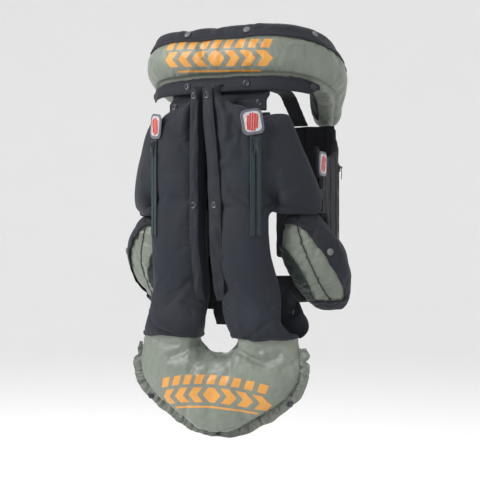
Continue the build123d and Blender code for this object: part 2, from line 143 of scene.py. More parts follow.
def cad_skin(name, nodes, material, voxel=5 * MM, swell=0.0, rounds=4, lumps=()):
    """One even quad mesh round the outer skins of CAD nodes, which a swell joins across their gaps."""
    whole = bmesh.new()
    for node in nodes:
        part = bmesh.new()
        part.from_mesh(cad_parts[node].data)
        bmesh.ops.remove_doubles(part, verts=part.verts, dist=WELD)
        shells = islands(part)
        outer = max(shells, key=lambda shell: max(v.co.z for v in shell) - min(v.co.z for v in shell))
        inner = [v for shell in shells if shell is not outer for v in shell]
        bmesh.ops.delete(part, geom=inner, context="VERTS")
        part.normal_update()
        for vert in part.verts:
            vert.co += vert.normal * swell
        joined = bpy.data.meshes.new("part")
        part.to_mesh(joined)
        part.free()
        whole.from_mesh(joined)
        bpy.data.meshes.remove(joined)
    for spot, radii in lumps:
        ball = bmesh.ops.create_icosphere(whole, subdivisions=3, radius=MM)["verts"]
        for vert in ball:
            vert.co = Vector(spot) * MM + Vector(c * r for c, r in zip(vert.co, radii))
    piece = from_bmesh(name, whole, material)
    modify(piece, "REMESH", mode="VOXEL", voxel_size=voxel, use_smooth_shade=True)
    bake(piece)
    soften(piece, rounds)
    move_to(piece, points_of(piece) - normals_of(piece) * swell)
    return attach(piece, "vest")


def grid_faces(count, width, ring=False):
    """The quads of a grid with count rows of width points; ring closes each row."""
    faces = []
    for i in range(count - 1):
        for j in range(width if ring else width - 1):
            k = (j + 1) % width
            faces.append((i * width + j, i * width + k, (i + 1) * width + k, (i + 1) * width + j))
    return faces


def grid(name, rows, material, thick=0.0, ring=False, body="vest"):
    """A sheet through a grid of points; thick gives it a second face, and ring closes its rows."""
    rows = np.asarray(rows, float)
    faces = grid_faces(*rows.shape[:2], ring)
    piece = make(name, rows.reshape(-1, 3), faces, material, body)
    if thick:
        modify(piece, "SOLIDIFY", thickness=thick, offset=0, use_even_offset=True)
        bake(piece)
    return piece


def steps(points):
    """The distance from each point to the next."""
    return np.linalg.norm(np.diff(points, axis=0), axis=1)


def run_along(points):
    """Each point's distance from the first, along the line."""
    return np.concatenate([[0], np.cumsum(steps(points))])


def curve_through(points, count):
    """Points evenly spaced along a smooth curve through the given ones."""
    knots = np.asarray(points, float)
    ends = np.vstack([2 * knots[0] - knots[1], knots, 2 * knots[-1] - knots[-2]])
    fine = []
    for i in range(1, len(ends) - 2):
        a, b, c, d = ends[i - 1 : i + 3]
        for t in np.linspace(0, 1, 24, endpoint=False):
            square = t * t * (a - 2.5 * b + 2 * c - d / 2)
            fine.append(b + t * (c - a) / 2 + square + t**3 * (-a + 3 * b - 3 * c + d) / 2)
    fine = np.array([*fine, knots[-1]])
    run = run_along(fine)
    even = np.linspace(0, run[-1], count)
    return np.stack([np.interp(even, run, fine[:, k]) for k in range(fine.shape[1])], axis=1)


def to_line(points, line):
    """Each point's distance to a polyline."""
    best = np.full(len(points), 1e9)
    for a, b in zip(line[:-1], line[1:]):
        a, b = np.asarray(a, float), np.asarray(b, float)
        along = np.clip((points - a) @ (b - a) / ((b - a) @ (b - a)), 0, 1)
        best = np.minimum(best, np.linalg.norm(points - a - along[:, None] * (b - a), axis=1))
    return best


def waves(points, size, seed=0.0):
    """Smooth noise from -1 to 1 at each point, with lumps about as large as size."""
    shift = Vector((seed, 2.3 * seed, -seed))
    return np.array([noise.noise(Vector(p) / size + shift) for p in points])


def bell(values, width):
    """A smooth bump: 1 where the value is 0, and fading to 0 over about twice the width."""
    return np.exp(-((values / width) ** 2))


def wobble(*spot):
    """Smooth noise from -1 to 1 at one point."""
    return noise.noise(Vector(spot))


def unit(v):
    v = np.asarray(v, float)
    return v / np.linalg.norm(v, axis=-1, keepdims=True)


class Tube:
    """A bag's centreline with a frame along it: out points away from the wearer, and up across it."""

    def __init__(self, line, count=200, out=None):
        self.centre = curve_through(np.asarray(line) * MM, count)
        self.along = unit(np.gradient(self.centre, axis=0))
        if out is None:
            self.out = unit(np.cross(self.along, (0, 0, 1)))
        else:
            out = np.asarray(out, float)
            self.out = unit(out - (self.along @ out)[:, None] * self.along)
        self.up = np.cross(self.out, self.along)

    def place(self, points):
        """Each point's station from 0 to 1, its angle from out towards up, and its radius."""
        index = np.array([np.argmin(((self.centre - p) ** 2).sum(axis=1)) for p in points])
        off = points - self.centre[index]
        a = (off * self.out[index]).sum(axis=1)
        b = (off * self.up[index]).sum(axis=1)
        return index / (len(self.centre) - 1), np.degrees(np.arctan2(b, a)), np.hypot(a, b)

    def at(self, station):
        """The centre, the way out and the way up at a station."""
        at = station * (len(self.centre) - 1)
        i = min(int(at), len(self.centre) - 2)
        frames = (self.centre, self.out, self.up)
        return [values[i] * (1 - at + i) + values[i + 1] * (at - i) for values in frames]

    def skin(self, tree, station, angle, lift):
        """The point where a bag's surface meets the ray at a station and an angle, lifted off it."""
        centre, out, up = self.at(station)
        ray = unit(out * cos(radians(angle)) + up * sin(radians(angle)))
        hit = tree.ray_cast(Vector(centre), Vector(ray))[0]
        return np.array(hit if hit is not None else centre + ray * 0.03) + ray * lift


def weigh(piece, name, weights):
    """Gives a piece a vertex group of the weights above 0.02."""
    group = piece.vertex_groups.new(name=name)
    for i in np.nonzero(weights > 0.02)[0]:
        group.add([int(i)], float(min(weights[i], 1)), "REPLACE")


def inflate(piece, pins, pressure, slack, limit, frames=16, bend=0.4):
    """Blows a bag up a little with its seams held, so that its loose cloth gathers along them."""
    start = points_of(piece)
    weigh(piece, "seams", pins)
    cloth = piece.modifiers.new("cloth", "CLOTH")
    cloth.settings.quality = 5
    cloth.settings.mass = 0.15
    cloth.settings.air_damping = 4
    cloth.settings.tension_stiffness = 25
    cloth.settings.compression_stiffness = 25
    cloth.settings.shear_stiffness = 8
    cloth.settings.bending_stiffness = bend
    cloth.settings.use_pressure = True
    cloth.settings.uniform_pressure_force = pressure
    cloth.settings.vertex_group_mass = "seams"
    cloth.settings.shrink_min = -slack
    cloth.settings.effector_weights.gravity = 0
    cloth.collision_settings.use_collision = False
    cloth.point_cache.frame_start = 1
    cloth.point_cache.frame_end = frames
    for number in range(1, frames + 1):
        bpy.context.scene.frame_set(number)
    graph = bpy.context.evaluated_depsgraph_get()
    result = np.array([v.co for v in piece.evaluated_get(graph).data.vertices])
    piece.modifiers.clear()
    bpy.context.scene.frame_set(1)
    moved = result - start
    far = np.linalg.norm(moved, axis=1, keepdims=True)
    move_to(piece, start + moved * np.minimum(1, limit / np.maximum(far, 1e-9)))


# ---- materials -----------------------------------------------------------------------------------


class Shade:
    """A material's node tree, built by short calls. Every coordinate is the object's own, in metres."""

    def __init__(self, name, roughness=0.6, metallic=0.0, sheen=0.0):
        self.material = bpy.data.materials.new(name)
        self.material.use_nodes = True
        self.tree = self.material.node_tree
        self.shader = self.tree.nodes["Principled BSDF"]
        self.shader.inputs["Roughness"].default_value = roughness
        self.shader.inputs["Metallic"].default_value = metallic
        self.shader.inputs["Sheen Weight"].default_value = sheen
        self.shader.inputs["Sheen Roughness"].default_value = 0.4
        self.place = self.node("ShaderNodeTexCoord").outputs["Object"]
        split = self.node("ShaderNodeSeparateXYZ", {0: self.place})
        self.x, self.y, self.z = split.outputs

    def node(self, kind, links=None, **settings):
        made = self.tree.nodes.new(kind)
        for key, value in settings.items():
            setattr(made, key, value)
        for key, value in (links or {}).items():
            if isinstance(value, bpy.types.NodeSocket):
                self.tree.links.new(value, made.inputs[key])
            else:
                made.inputs[key].default_value = value
        return made

    def do(self, operation, *values):
        return self.node("ShaderNodeMath", dict(enumerate(values)), operation=operation).outputs[0]

    def noise(self, scale, detail=2.0, rough=0.5, stretch=None):
        place = self.place
        if stretch:
            place = self.node("ShaderNodeMapping", {"Vector": self.place, "Scale": stretch}).outputs[0]
        links = {"Vector": place, "Scale": scale, "Detail": detail, "Roughness": rough}
        return self.node("ShaderNodeTexNoise", links).outputs["Fac"]

    def ramp(self, value, low, high, start=0.0, end=1.0):
        links = {0: value, 1: start, 2: end, 3: low, 4: high}
        return self.node("ShaderNodeMapRange", links).outputs[0]

    def mix(self, factor, first, second):
        made = self.node("ShaderNodeMix", data_type="RGBA")
        for key, value in ((0, factor), (6, first), (7, second)):
            if isinstance(value, bpy.types.NodeSocket):
                self.tree.links.new(value, made.inputs[key])
            else:
                made.inputs[key].default_value = value if key == 0 else (*value, 1)
        return made.outputs[2]

    def colour(self, value):
        self.tree.links.new(value, self.shader.inputs["Base Color"])

    def rough(self, value):
        self.tree.links.new(value, self.shader.inputs["Roughness"])

    def bump(self, *layers):
        """Stacks height layers, each a (height, strength, distance in metres)."""
        last = None
        for height, strength, distance in layers:
            links = {"Height": height, "Strength": strength, "Distance": distance}
            if last:
                links["Normal"] = last
            last = self.node("ShaderNodeBump", links).outputs[0]
        self.tree.links.new(last, self.shader.inputs["Normal"])

    def weave(self, pitch):
        """Crossing threads as a height: a lattice of sines in all three directions."""
        waves_ = [self.do("SINE", self.do("MULTIPLY", c, tau / pitch)) for c in (self.x, self.y, self.z)]
        return self.do("MULTIPLY", waves_[2], self.do("ADD", waves_[0], waves_[1]))


def cloth(name, dark, light, roughness, sheen, pitch, depth, fleck=0.3):
    """Woven or knitted cloth: uneven dye, threads, fine lint and soft rumpling."""
    s = Shade(name, roughness, sheen=sheen)
    s.shader.inputs["Specular IOR Level"].default_value = 0.3
    worn = s.noise(9, 5, 0.6)
    lint = s.noise(1400, 2, 0.7)
    tone = s.do("ADD", s.ramp(worn, 0, 1 - fleck, 0.3, 0.7), s.do("MULTIPLY", lint, fleck))
    s.colour(s.mix(tone, dark, light))
    s.rough(s.ramp(worn, roughness - 0.06, roughness + 0.06, 0.3, 0.7))
    rumple = s.noise(28, 3, 0.5)
    s.bump((rumple, 0.15, 1.5 * MM), (lint, 0.25, 0.15 * MM), (s.weave(pitch), 0.4, depth))
    return s.material


def plastic(name, dark, light, roughness, metallic=0.0):
    """Moulded plastic, enamel or metal with fine grain and scuffs."""
    s = Shade(name, roughness, metallic)
    scuff = s.noise(160, 6, 0.7, (1, 1, 0.25))
    grain = s.noise(2500, 2, 0.5)
    s.colour(s.mix(s.ramp(scuff, 0, 1, 0.35, 0.75), dark, light))
    s.rough(s.ramp(scuff, roughness - 0.08, roughness + 0.14, 0.3, 0.75))
    s.bump((grain, 0.15, 0.05 * MM), (scuff, 0.1, 0.1 * MM))
    return s.material


SAGE = ((0.117, 0.135, 0.109), (0.163, 0.184, 0.15))
ORANGE = ((0.5, 0.205, 0.022), (0.62, 0.28, 0.045))


def airbag_cloth(name, prints=(), shade_factor=1.0):
    """Coated nylon with a ripstop grid; prints are masks that a caller's function builds. Its last argument
    darkens both sage colours, which paints shade where it is below 1.
    """
    s = Shade(name, 0.47, sheen=0.15)
    cloud = s.noise(14, 4, 0.55)
    tone = s.mix(s.ramp(cloud, 0, 1, 0.3, 0.7), *[tuple(shade_factor * c for c in colour) for colour in SAGE])
    lines = [s.do("PINGPONG", c, 2.5 * MM) for c in (s.x, s.y, s.z)]
    rip = [s.ramp(line, 1, 0, 0, 0.35 * MM) for line in lines]
    grid_lines = s.do("MINIMUM", 1.0, s.do("ADD", rip[0], s.do("ADD", rip[1], rip[2])))
    tone = s.mix(s.do("MULTIPLY", grid_lines, 0.12), tone, (0.3, 0.34, 0.29))
    height = grid_lines
    for mask in prints:
        printed = mask(s)
        worn = s.ramp(s.noise(420, 5, 0.7), 0.72, 1, 0.32, 0.5)
        ink = s.mix(s.ramp(cloud, 0, 1, 0.3, 0.7), *ORANGE)
        tone = s.mix(s.do("MULTIPLY", printed, worn), tone, ink)
        height = s.do("ADD", height, s.do("MULTIPLY", printed, 0.5))
    s.colour(tone)
    s.rough(s.ramp(cloud, 0.4, 0.54, 0.3, 0.7))
    crumple = s.noise(60, 5, 0.62)
    s.bump((crumple, 0.12, 1.0 * MM), (height, 0.4, 0.08 * MM), (s.weave(0.7 * MM), 0.25, 0.04 * MM))
    return s.material


black = cloth("cover_cloth", (0.0058, 0.007, 0.011), (0.0135, 0.016, 0.0235), 0.7, 0.06, 0.8 * MM, 0.08 * MM)
stretch = cloth("stretch_cloth", (0.0098, 0.0118, 0.0175), (0.0142, 0.0168, 0.025), 0.78, 0.06, 0.9 * MM,
                0.06 * MM)
sage = airbag_cloth("airbag_cloth")

# ---- stage ---------------------------------------------------------------------------------------

FLOOR_Z = -0.93
DISTANCE, AZIMUTH, EYE_Z = 2.3, radians(25), -0.304
SENSOR, FOCAL = 36, 86.25  # mm
SHIFT = -1 / 240  # share of the picture by which the view is moved sideways
VIEW_TARGET = Vector((0, -0.05, -0.3))


def studio():
    """A pale floor that curves up all round, soft lights and the camera."""
    profile = [(0, 0), (1.5, 0), (3.2, 0), (4.4, 0.12), (5.4, 0.6), (6.1, 1.5), (6.4, 2.8), (6.5, 4.5)]
    profile = curve_through(profile, 40)
    turns = np.linspace(0, tau, 96, endpoint=False)
    rows = [[(r * cos(t), r * sin(t), FLOOR_Z + h) for t in turns] for r, h in profile]
    s = Shade("stage_paint", 0.9)
    s.colour(s.mix(s.noise(3, 3), (0.89, 0.89, 0.89), (0.91, 0.91, 0.91)))
    s.bump((s.noise(300, 3), 0.05, 1 * MM))
    grid("stage_floor", rows, s.material, ring=True, body=None)
    world = bpy.data.worlds.new("studio")
    world.use_nodes = True
    world.node_tree.nodes["Background"].inputs[0].default_value = (1, 1, 1, 1)
    world.node_tree.nodes["Background"].inputs[1].default_value = 0.66
    bpy.context.scene.world = world
    lights = {
        "key": ((-1.9, -2.6, 1.5), 1.2, 125),
        "fill": ((2.8, -1.0, 0.8), 2.0, 18),
        "top": ((0.3, 0.9, 2.6), 2.0, 30),
    }
    for name, (spot, size, power) in lights.items():
        light = bpy.data.lights.new(name, "AREA")
        light.size = size
        light.energy = power
        lamp = bpy.data.objects.new(name, light)
        lamp.location = spot
        lamp.rotation_euler = (VIEW_TARGET - Vector(spot)).to_track_quat("-Z", "Y").to_euler()
        bpy.context.scene.collection.objects.link(lamp)
    camera = bpy.data.objects.new("camera", bpy.data.cameras.new("camera"))
    camera.data.lens = FOCAL
    camera.data.sensor_width = SENSOR
    camera.data.shift_x = SHIFT
    camera.location = (DISTANCE * sin(AZIMUTH), -DISTANCE * cos(AZIMUTH), EYE_Z)
    camera.rotation_euler = (pi / 2, 0, AZIMUTH)
    bpy.context.scene.collection.objects.link(camera)
    bpy.context.scene.camera = camera


studio()
bpy.context.scene.view_settings.view_transform = "Standard"

# ---- shared shapes -------------------------------------------------------------------------------


def add(piece, node_list, kind, **facts):
    """Hides the CAD nodes that a soft piece stands for. Its kind and facts are not used."""
    if node_list:
        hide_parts(*node_list)
    return piece


def cut(piece, name, material, spot, way, warp=None):
    """A copy of the part of a piece that lies on the way side of a plane, which warp can bend."""
    bm = bmesh.new()
    bm.from_mesh(piece.data)
    if warp:
        for vert in bm.verts:
            vert.co.z -= warp(vert.co.x)
    everything = bm.verts[:] + bm.edges[:] + bm.faces[:]
    bmesh.ops.bisect_plane(bm, geom=everything, plane_co=Vector(spot), plane_no=Vector(way), clear_inner=True)
    if warp:
        for vert in bm.verts:
            vert.co.z += warp(vert.co.x)
    part = from_bmesh(name, bm, material)
    part.data.polygons.foreach_set("use_smooth", [True] * len(part.data.polygons))
    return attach(part, "vest")


def cut_along(piece, name, material, field):
    """A copy of the part of a piece where a field is above zero, with its edge drawn onto the zero line."""
    tree = tree_of(piece)
    bm = bmesh.new()
    bm.from_mesh(piece.data)
    bm.verts.ensure_lookup_table()
    values = field(np.array([v.co for v in bm.verts]))
    far = [v for v, value in zip(bm.verts[:], values) if value < -1.1 * MM]
    bmesh.ops.delete(bm, geom=far, context="VERTS")
    for _ in range(3):
        bmesh.ops.delete(bm, geom=[v for v in bm.verts if len(v.link_faces) < 2], context="VERTS")
    edge = [v for v in bm.verts if v.is_boundary]
    spots = np.array([v.co for v in edge])
    step = 0.5 * MM
    for _ in range(4):
        rises = [field(spots + step * way) - field(spots - step * way) for way in np.eye(3)]
        slope = np.stack([rise / (2 * step) for rise in rises], 1)
        reach = field(spots) / np.maximum((slope**2).sum(axis=1), 1e-6)
        spots = spots - slope * reach[:, None].clip(-3 * MM, 3 * MM)
        spots = np.array([tree.find_nearest(Vector(p))[0] for p in spots])
    for vert, spot in zip(edge, spots):
        vert.co = Vector(spot)
    for _ in range(6):
        moved = []
        for vert in edge:
            beside = [e.other_vert(vert).co for e in vert.link_edges if e.is_boundary]
            moved.append(vert.co * 0.4 + sum(beside, Vector()) * 0.6 / len(beside))
        for vert, spot in zip(edge, moved):
            vert.co = spot
    for vert in edge:
        vert.co = tree.find_nearest(vert.co)[0]
    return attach(from_bmesh(name, bm, material), "vest")


def push(piece, amounts):
    """Moves each point along its own normal."""
    move_to(piece, points_of(piece) + normals_of(piece) * np.asarray(amounts)[:, None])


def thicken(piece, thickness, offset=1.0):
    modify(piece, "SOLIDIFY", thickness=thickness, offset=offset, use_even_offset=False)
    return bake(piece)


def drop(piece):
    mesh = piece.data
    bpy.data.objects.remove(piece)
    bpy.data.meshes.remove(mesh)


def stitches(name, paths, material, pitch=3.6 * MM, length=2.3 * MM, radius=0.33 * MM, body="vest"):
    """Rows of short threads; a path is points with the normals of the cloth under them."""
    points, faces = [], []
    for path, normals in paths:
        path, normals = np.asarray(path), unit(np.asarray(normals))
        run = run_along(path)
        for start in np.arange(pitch / 2, run[-1] - pitch / 2, pitch):
            at = [start, start + 0.25 * length, start + 0.75 * length, start + length]
            spots = np.stack([np.interp(at, run, path[:, k]) for k in range(3)], axis=1)
            normal = unit(np.array([np.interp(start, run, normals[:, k]) for k in range(3)]))
            along = unit(spots[-1] - spots[0])
            side = unit(np.cross(along, normal))
            base = len(points)
            for spot, size, lift in zip(spots, (0.25, 1, 1, 0.25), (-0.2, 0.35, 0.35, -0.2)):
                centre = spot + normal * radius * lift
                for a in (0, 0.25, 0.5, 0.75):
                    arm = side * cos(a * tau) + normal * sin(a * tau)
                    points.append(centre + arm * radius * size)
            for ring in range(3):
                for k in range(4):
                    a, b = base + ring * 4 + k, base + ring * 4 + (k + 1) % 4
                    faces.append((a, b, b + 4, a + 4))
    return make(name, points, faces, material, body)


def drop_on(tree, spots, way):
    """Where rays that start 0.3 m off the spots and travel along way meet a surface, with its normals."""
    way = Vector(unit(way))
    path, normals = [], []
    for spot in spots:
        point, normal, _, _ = tree.ray_cast(Vector(spot) - way * 0.3, way)
        if point is not None:
            path.append(point)
            normals.append(normal)
    return np.array(path), np.array(normals)


def smooth_step(values, low, high):
    t = np.clip((np.asarray(values) - low) / (high - low), 0, 1)
    return t * t * (3 - 2 * t)


def lathe(profile, spot, normal, count=40):
    """Points and faces of a turned part whose axis is the normal; profile is (radius, height) in mm."""
    normal = unit(normal)
    side = unit(np.cross(normal, (0.31, 0.2, 0.93)))
    other = np.cross(normal, side)
    rings = []
    for radius, height in profile:
        for t in np.linspace(0, tau, count, endpoint=False):
            rings.append(spot + MM * (normal * height + radius * (side * cos(t) + other * sin(t))))
    return rings, grid_faces(len(profile), count, True)


def join_parts(parts):
    points, faces = [], []
    for part_points, part_faces in parts:
        base = len(points)
        points.extend(part_points)
        faces.extend(tuple(base + i for i in face) for face in part_faces)
    return points, faces


# ---- more materials ------------------------------------------------------------------------------


def print_rows(top, middle, foot, arch, face, tilt=0.0):
    """Rows of generic shapes on the wearer's back: slanted bars, chevrons and a thin line."""

    def mask(s):
        x = s.x
        bent = s.do("MULTIPLY", s.do("POWER", s.do("ABSOLUTE", s.do("DIVIDE", x, 0.11)), 2), arch)
        v = s.do("ADD", s.do("ADD", s.z, bent), s.do("MULTIPLY", x, tilt))
        away = s.do("ABSOLUTE", s.do("SUBTRACT", x, 0.004))

        def band(low, high, half):
            inside = s.do("MULTIPLY", s.do("GREATER_THAN", v, low), s.do("LESS_THAN", v, high))
            return s.do("MULTIPLY", inside, s.do("LESS_THAN", away, half))

        middle_row = (top[0] + top[1]) / 2
        lean = s.do("MULTIPLY", s.do("SUBTRACT", v, middle_row), 0.35)
        along = s.do("SUBTRACT", s.do("SUBTRACT", x, 0.004), lean)
        slant = s.do("FRACT", s.do("ADD", s.do("DIVIDE", along, 0.0255), 20.31))
        ends = s.do("LESS_THAN", s.do("ABSOLUTE", along), 4.32 * 0.0255)
        bars = s.do("MULTIPLY", s.do("MULTIPLY", band(*top, 0.13), ends), s.do("LESS_THAN", slant, 0.62))
        centre = (middle[0] + middle[1]) / 2
        lean = s.do("MULTIPLY", s.do("ABSOLUTE", s.do("SUBTRACT", v, centre)), 0.9)
        reach = s.do("ADD", away, lean)
        arrow = s.do("FRACT", s.do("DIVIDE", reach, 0.0315))
        arrows = s.do("MULTIPLY", band(*middle, 0.13), s.do("LESS_THAN", arrow, 0.6))
        arrows = s.do("MULTIPLY", arrows, s.do("LESS_THAN", reach, 3.61 * 0.0315))
        line = band(*foot, 0.086)
        back = s.do("LESS_THAN", s.y, face)
        return s.do("MULTIPLY", back, s.do("MAXIMUM", bars, s.do("MAXIMUM", arrows, line)))

    return mask


COLLAR_ROWS = print_rows((0.060, 0.077), (0.0265, 0.0555), (0.0165, 0.020), 0.0, -0.06, 0.045)
collar_cloth = airbag_cloth("collar_print_cloth", [COLLAR_ROWS])
TAIL_ROWS = print_rows((-0.576, -0.558), (-0.611, -0.582), (-0.6215, -0.6175), 0.014, -0.106)
tail_cloth = airbag_cloth("tail_print_cloth", [TAIL_ROWS])
# The hem's cloth: the airbag cloth darkened as painted shade, matching the shaded lower part of the tail.
shaded_hem_cloth = airbag_cloth("shaded_hem_cloth", shade_factor=0.72)
mesh_cloth = cloth("dark_mesh", (0.006, 0.01, 0.01), (0.022, 0.034, 0.032), 0.7, 0.2, 1.6 * MM, 0.3 * MM, 0.5)
pad_cloth = cloth("padded_mesh", (0.007, 0.008, 0.010), (0.018, 0.019, 0.024), 0.85, 0.08, 1.8 * MM, 0.3 * MM)
teal_tape = cloth("zip_tape", (0.009, 0.02, 0.023), (0.019, 0.038, 0.043), 0.6, 0.1, 0.9 * MM, 0.15 * MM)
pale_thread = cloth("pale_thread", (0.02, 0.023, 0.03), (0.04, 0.045, 0.055), 0.6, 0.0, 0.5 * MM, 0.05 * MM)
thread = cloth("thread", (0.004, 0.004, 0.006), (0.012, 0.013, 0.017), 0.6, 0.0, 0.5 * MM, 0.05 * MM)
coil = plastic("zip_coil", (0.008, 0.009, 0.01), (0.03, 0.035, 0.038), 0.4)
cap_plastic = plastic("snap_cap_plastic", (0.09, 0.09, 0.1), (0.15, 0.15, 0.165), 0.42)
snap_metal = plastic("snap_metal", (0.02, 0.022, 0.027), (0.1, 0.105, 0.118), 0.34, 0.8)
zip_metal = plastic("zip_metal", (0.02, 0.022, 0.026), (0.08, 0.085, 0.095), 0.35, 0.6)
moulded = plastic("buckle_plastic", (0.006, 0.006, 0.007), (0.02, 0.02, 0.023), 0.42)
cast_metal = plastic("inflator_metal", (0.4, 0.41, 0.43), (0.6, 0.61, 0.63), 0.38, 1.0)
steel = plastic("steel", (0.45, 0.45, 0.46), (0.62, 0.62, 0.63), 0.25, 1.0)
key_red = plastic("key_plastic", (0.42, 0.02, 0.015), (0.6, 0.04, 0.03), 0.4)
gas_steel = plastic("cartridge_steel", (0.42, 0.43, 0.44), (0.58, 0.59, 0.6), 0.3, 1.0)
rubber = plastic("hose_rubber", (0.008, 0.008, 0.009), (0.025, 0.025, 0.027), 0.6)
vinyl = plastic("label_vinyl", (0.085, 0.087, 0.11), (0.17, 0.17, 0.205), 0.14)
card_white = plastic("label_card", (0.36, 0.36, 0.38), (0.55, 0.55, 0.56), 0.22)
card_red = plastic("label_red", (0.36, 0.022, 0.016), (0.5, 0.06, 0.04), 0.25)
card_silver = plastic("label_silver", (0.5, 0.5, 0.52), (0.75, 0.75, 0.76), 0.2, 0.8)

# ---- back cushion and tail airbag ----------------------------------------------------------------

# Folds on the wearer's back: x and z along the fold, its width, and its depth in mm; a ridge is less than 0.
BACK_FOLDS = [
    ([(19, -13), (34, -40), (47, -75), (52, -112)], 7, -6),
    ([(25, -12), (37, -40), (48, -60)], 5.5, 12),
    ([(36, -26), (62, -46), (88, -74)], 8, -5),
    ([(34, -62), (33, -110), (36, -150)], 7, 4),
    ([(58, -64), (80, -104), (84, -150)], 11, 4.5),
    ([(-17, -14), (-42, -48), (-70, -72)], 8, 7),
    ([(-13, -14), (-26, -62), (-30, -118)], 6, 5),
    ([(-24, -16), (-36, -60), (-42, -104)], 7, -4),
    ([(48, -176), (62, -214), (92, -238), (120, -248)], 12, 3.2),
    ([(52, -250), (66, -300), (58, -352)], 16, 3),
    ([(-52, -232), (-66, -290), (-60, -350)], 15, 3),
    ([(122, -232), (142, -243), (166, -246), (196, -247)], 5, 7),
    ([(-122, -232), (-142, -243), (-166, -246), (-196, -247)], 5, 7),
    ([(134, -100), (150, -140), (160, -190)], 11, 3.5),
    ([(122, -226), (140, -214), (166, -206)], 6, 5),
    ([(122, -226), (128, -200), (130, -178)], 6, 5),
    ([(-134, -100), (-150, -140), (-160, -190)], 11, 3.5),
    ([(124, -455), (104, -470), (82, -482), (60, -493)], 4, 4),
    ([(-124, -457), (-104, -472), (-82, -483), (-60, -493)], 4, 5),
    ([(-14, -437), (-30, -427), (-50, -422)], 4, 6),
    ([(-14, -428), (-26, -416), (-40, -410)], 3.5, 4.5),
    ([(-14, -410), (-22, -398), (-28, -380)], 4, 3),
    ([(20, -424), (38, -436), (56, -462)], 7, 6),
    ([(14, -408), (24, -402), (34, -396)], 4, 3.5),
    ([(42, -392), (66, -420), (78, -462)], 12, 3.5),
    ([(34, -498), (62, -514), (108, -533), (132, -520)], 8, 7.5),
    ([(-34, -500), (-58, -514), (-88, -526)], 8, 6),
    ([(-54, -500), (-96, -505), (-130, -498)], 5, 3),
    ([(39, -512), (40, -532), (36, -556)], 8, 5),
    ([(-12, -518), (-16, -545), (-30, -566)], 12, -4),
    ([(66, -500), (96, -508), (126, -500)], 4, 3),
    ([(176, -523), (160, -520), (138, -510)], 3.5, 5.5),
    ([(176, -528), (160, -533), (140, -542)], 4, 5),
    ([(-4, -652), (-5, -629), (2, -600)], 9, 4),
    ([(-60, -640), (-52, -620), (-44, -604)], 6, 3),
    ([(66, -640), (58, -618), (50, -602)], 6, 3),
]
# Where the lobes' edges beside the gap lie further from the middle: side, height, reach up and down, how far.
INNER_EDGES = [(1, -0.27, 0.085, 6), (1, -0.462, 0.025, 13), (1, -0.488, 0.013, 7), (-1, -0.488, 0.013, 8)]
LEVEL = -0.4885  # where the black covers end and the tail airbag shows


def hem_wave(x):
    return 2.2 * MM * sin(x / 0.021) + 1.2 * MM * sin(x / 0.009 + 1)


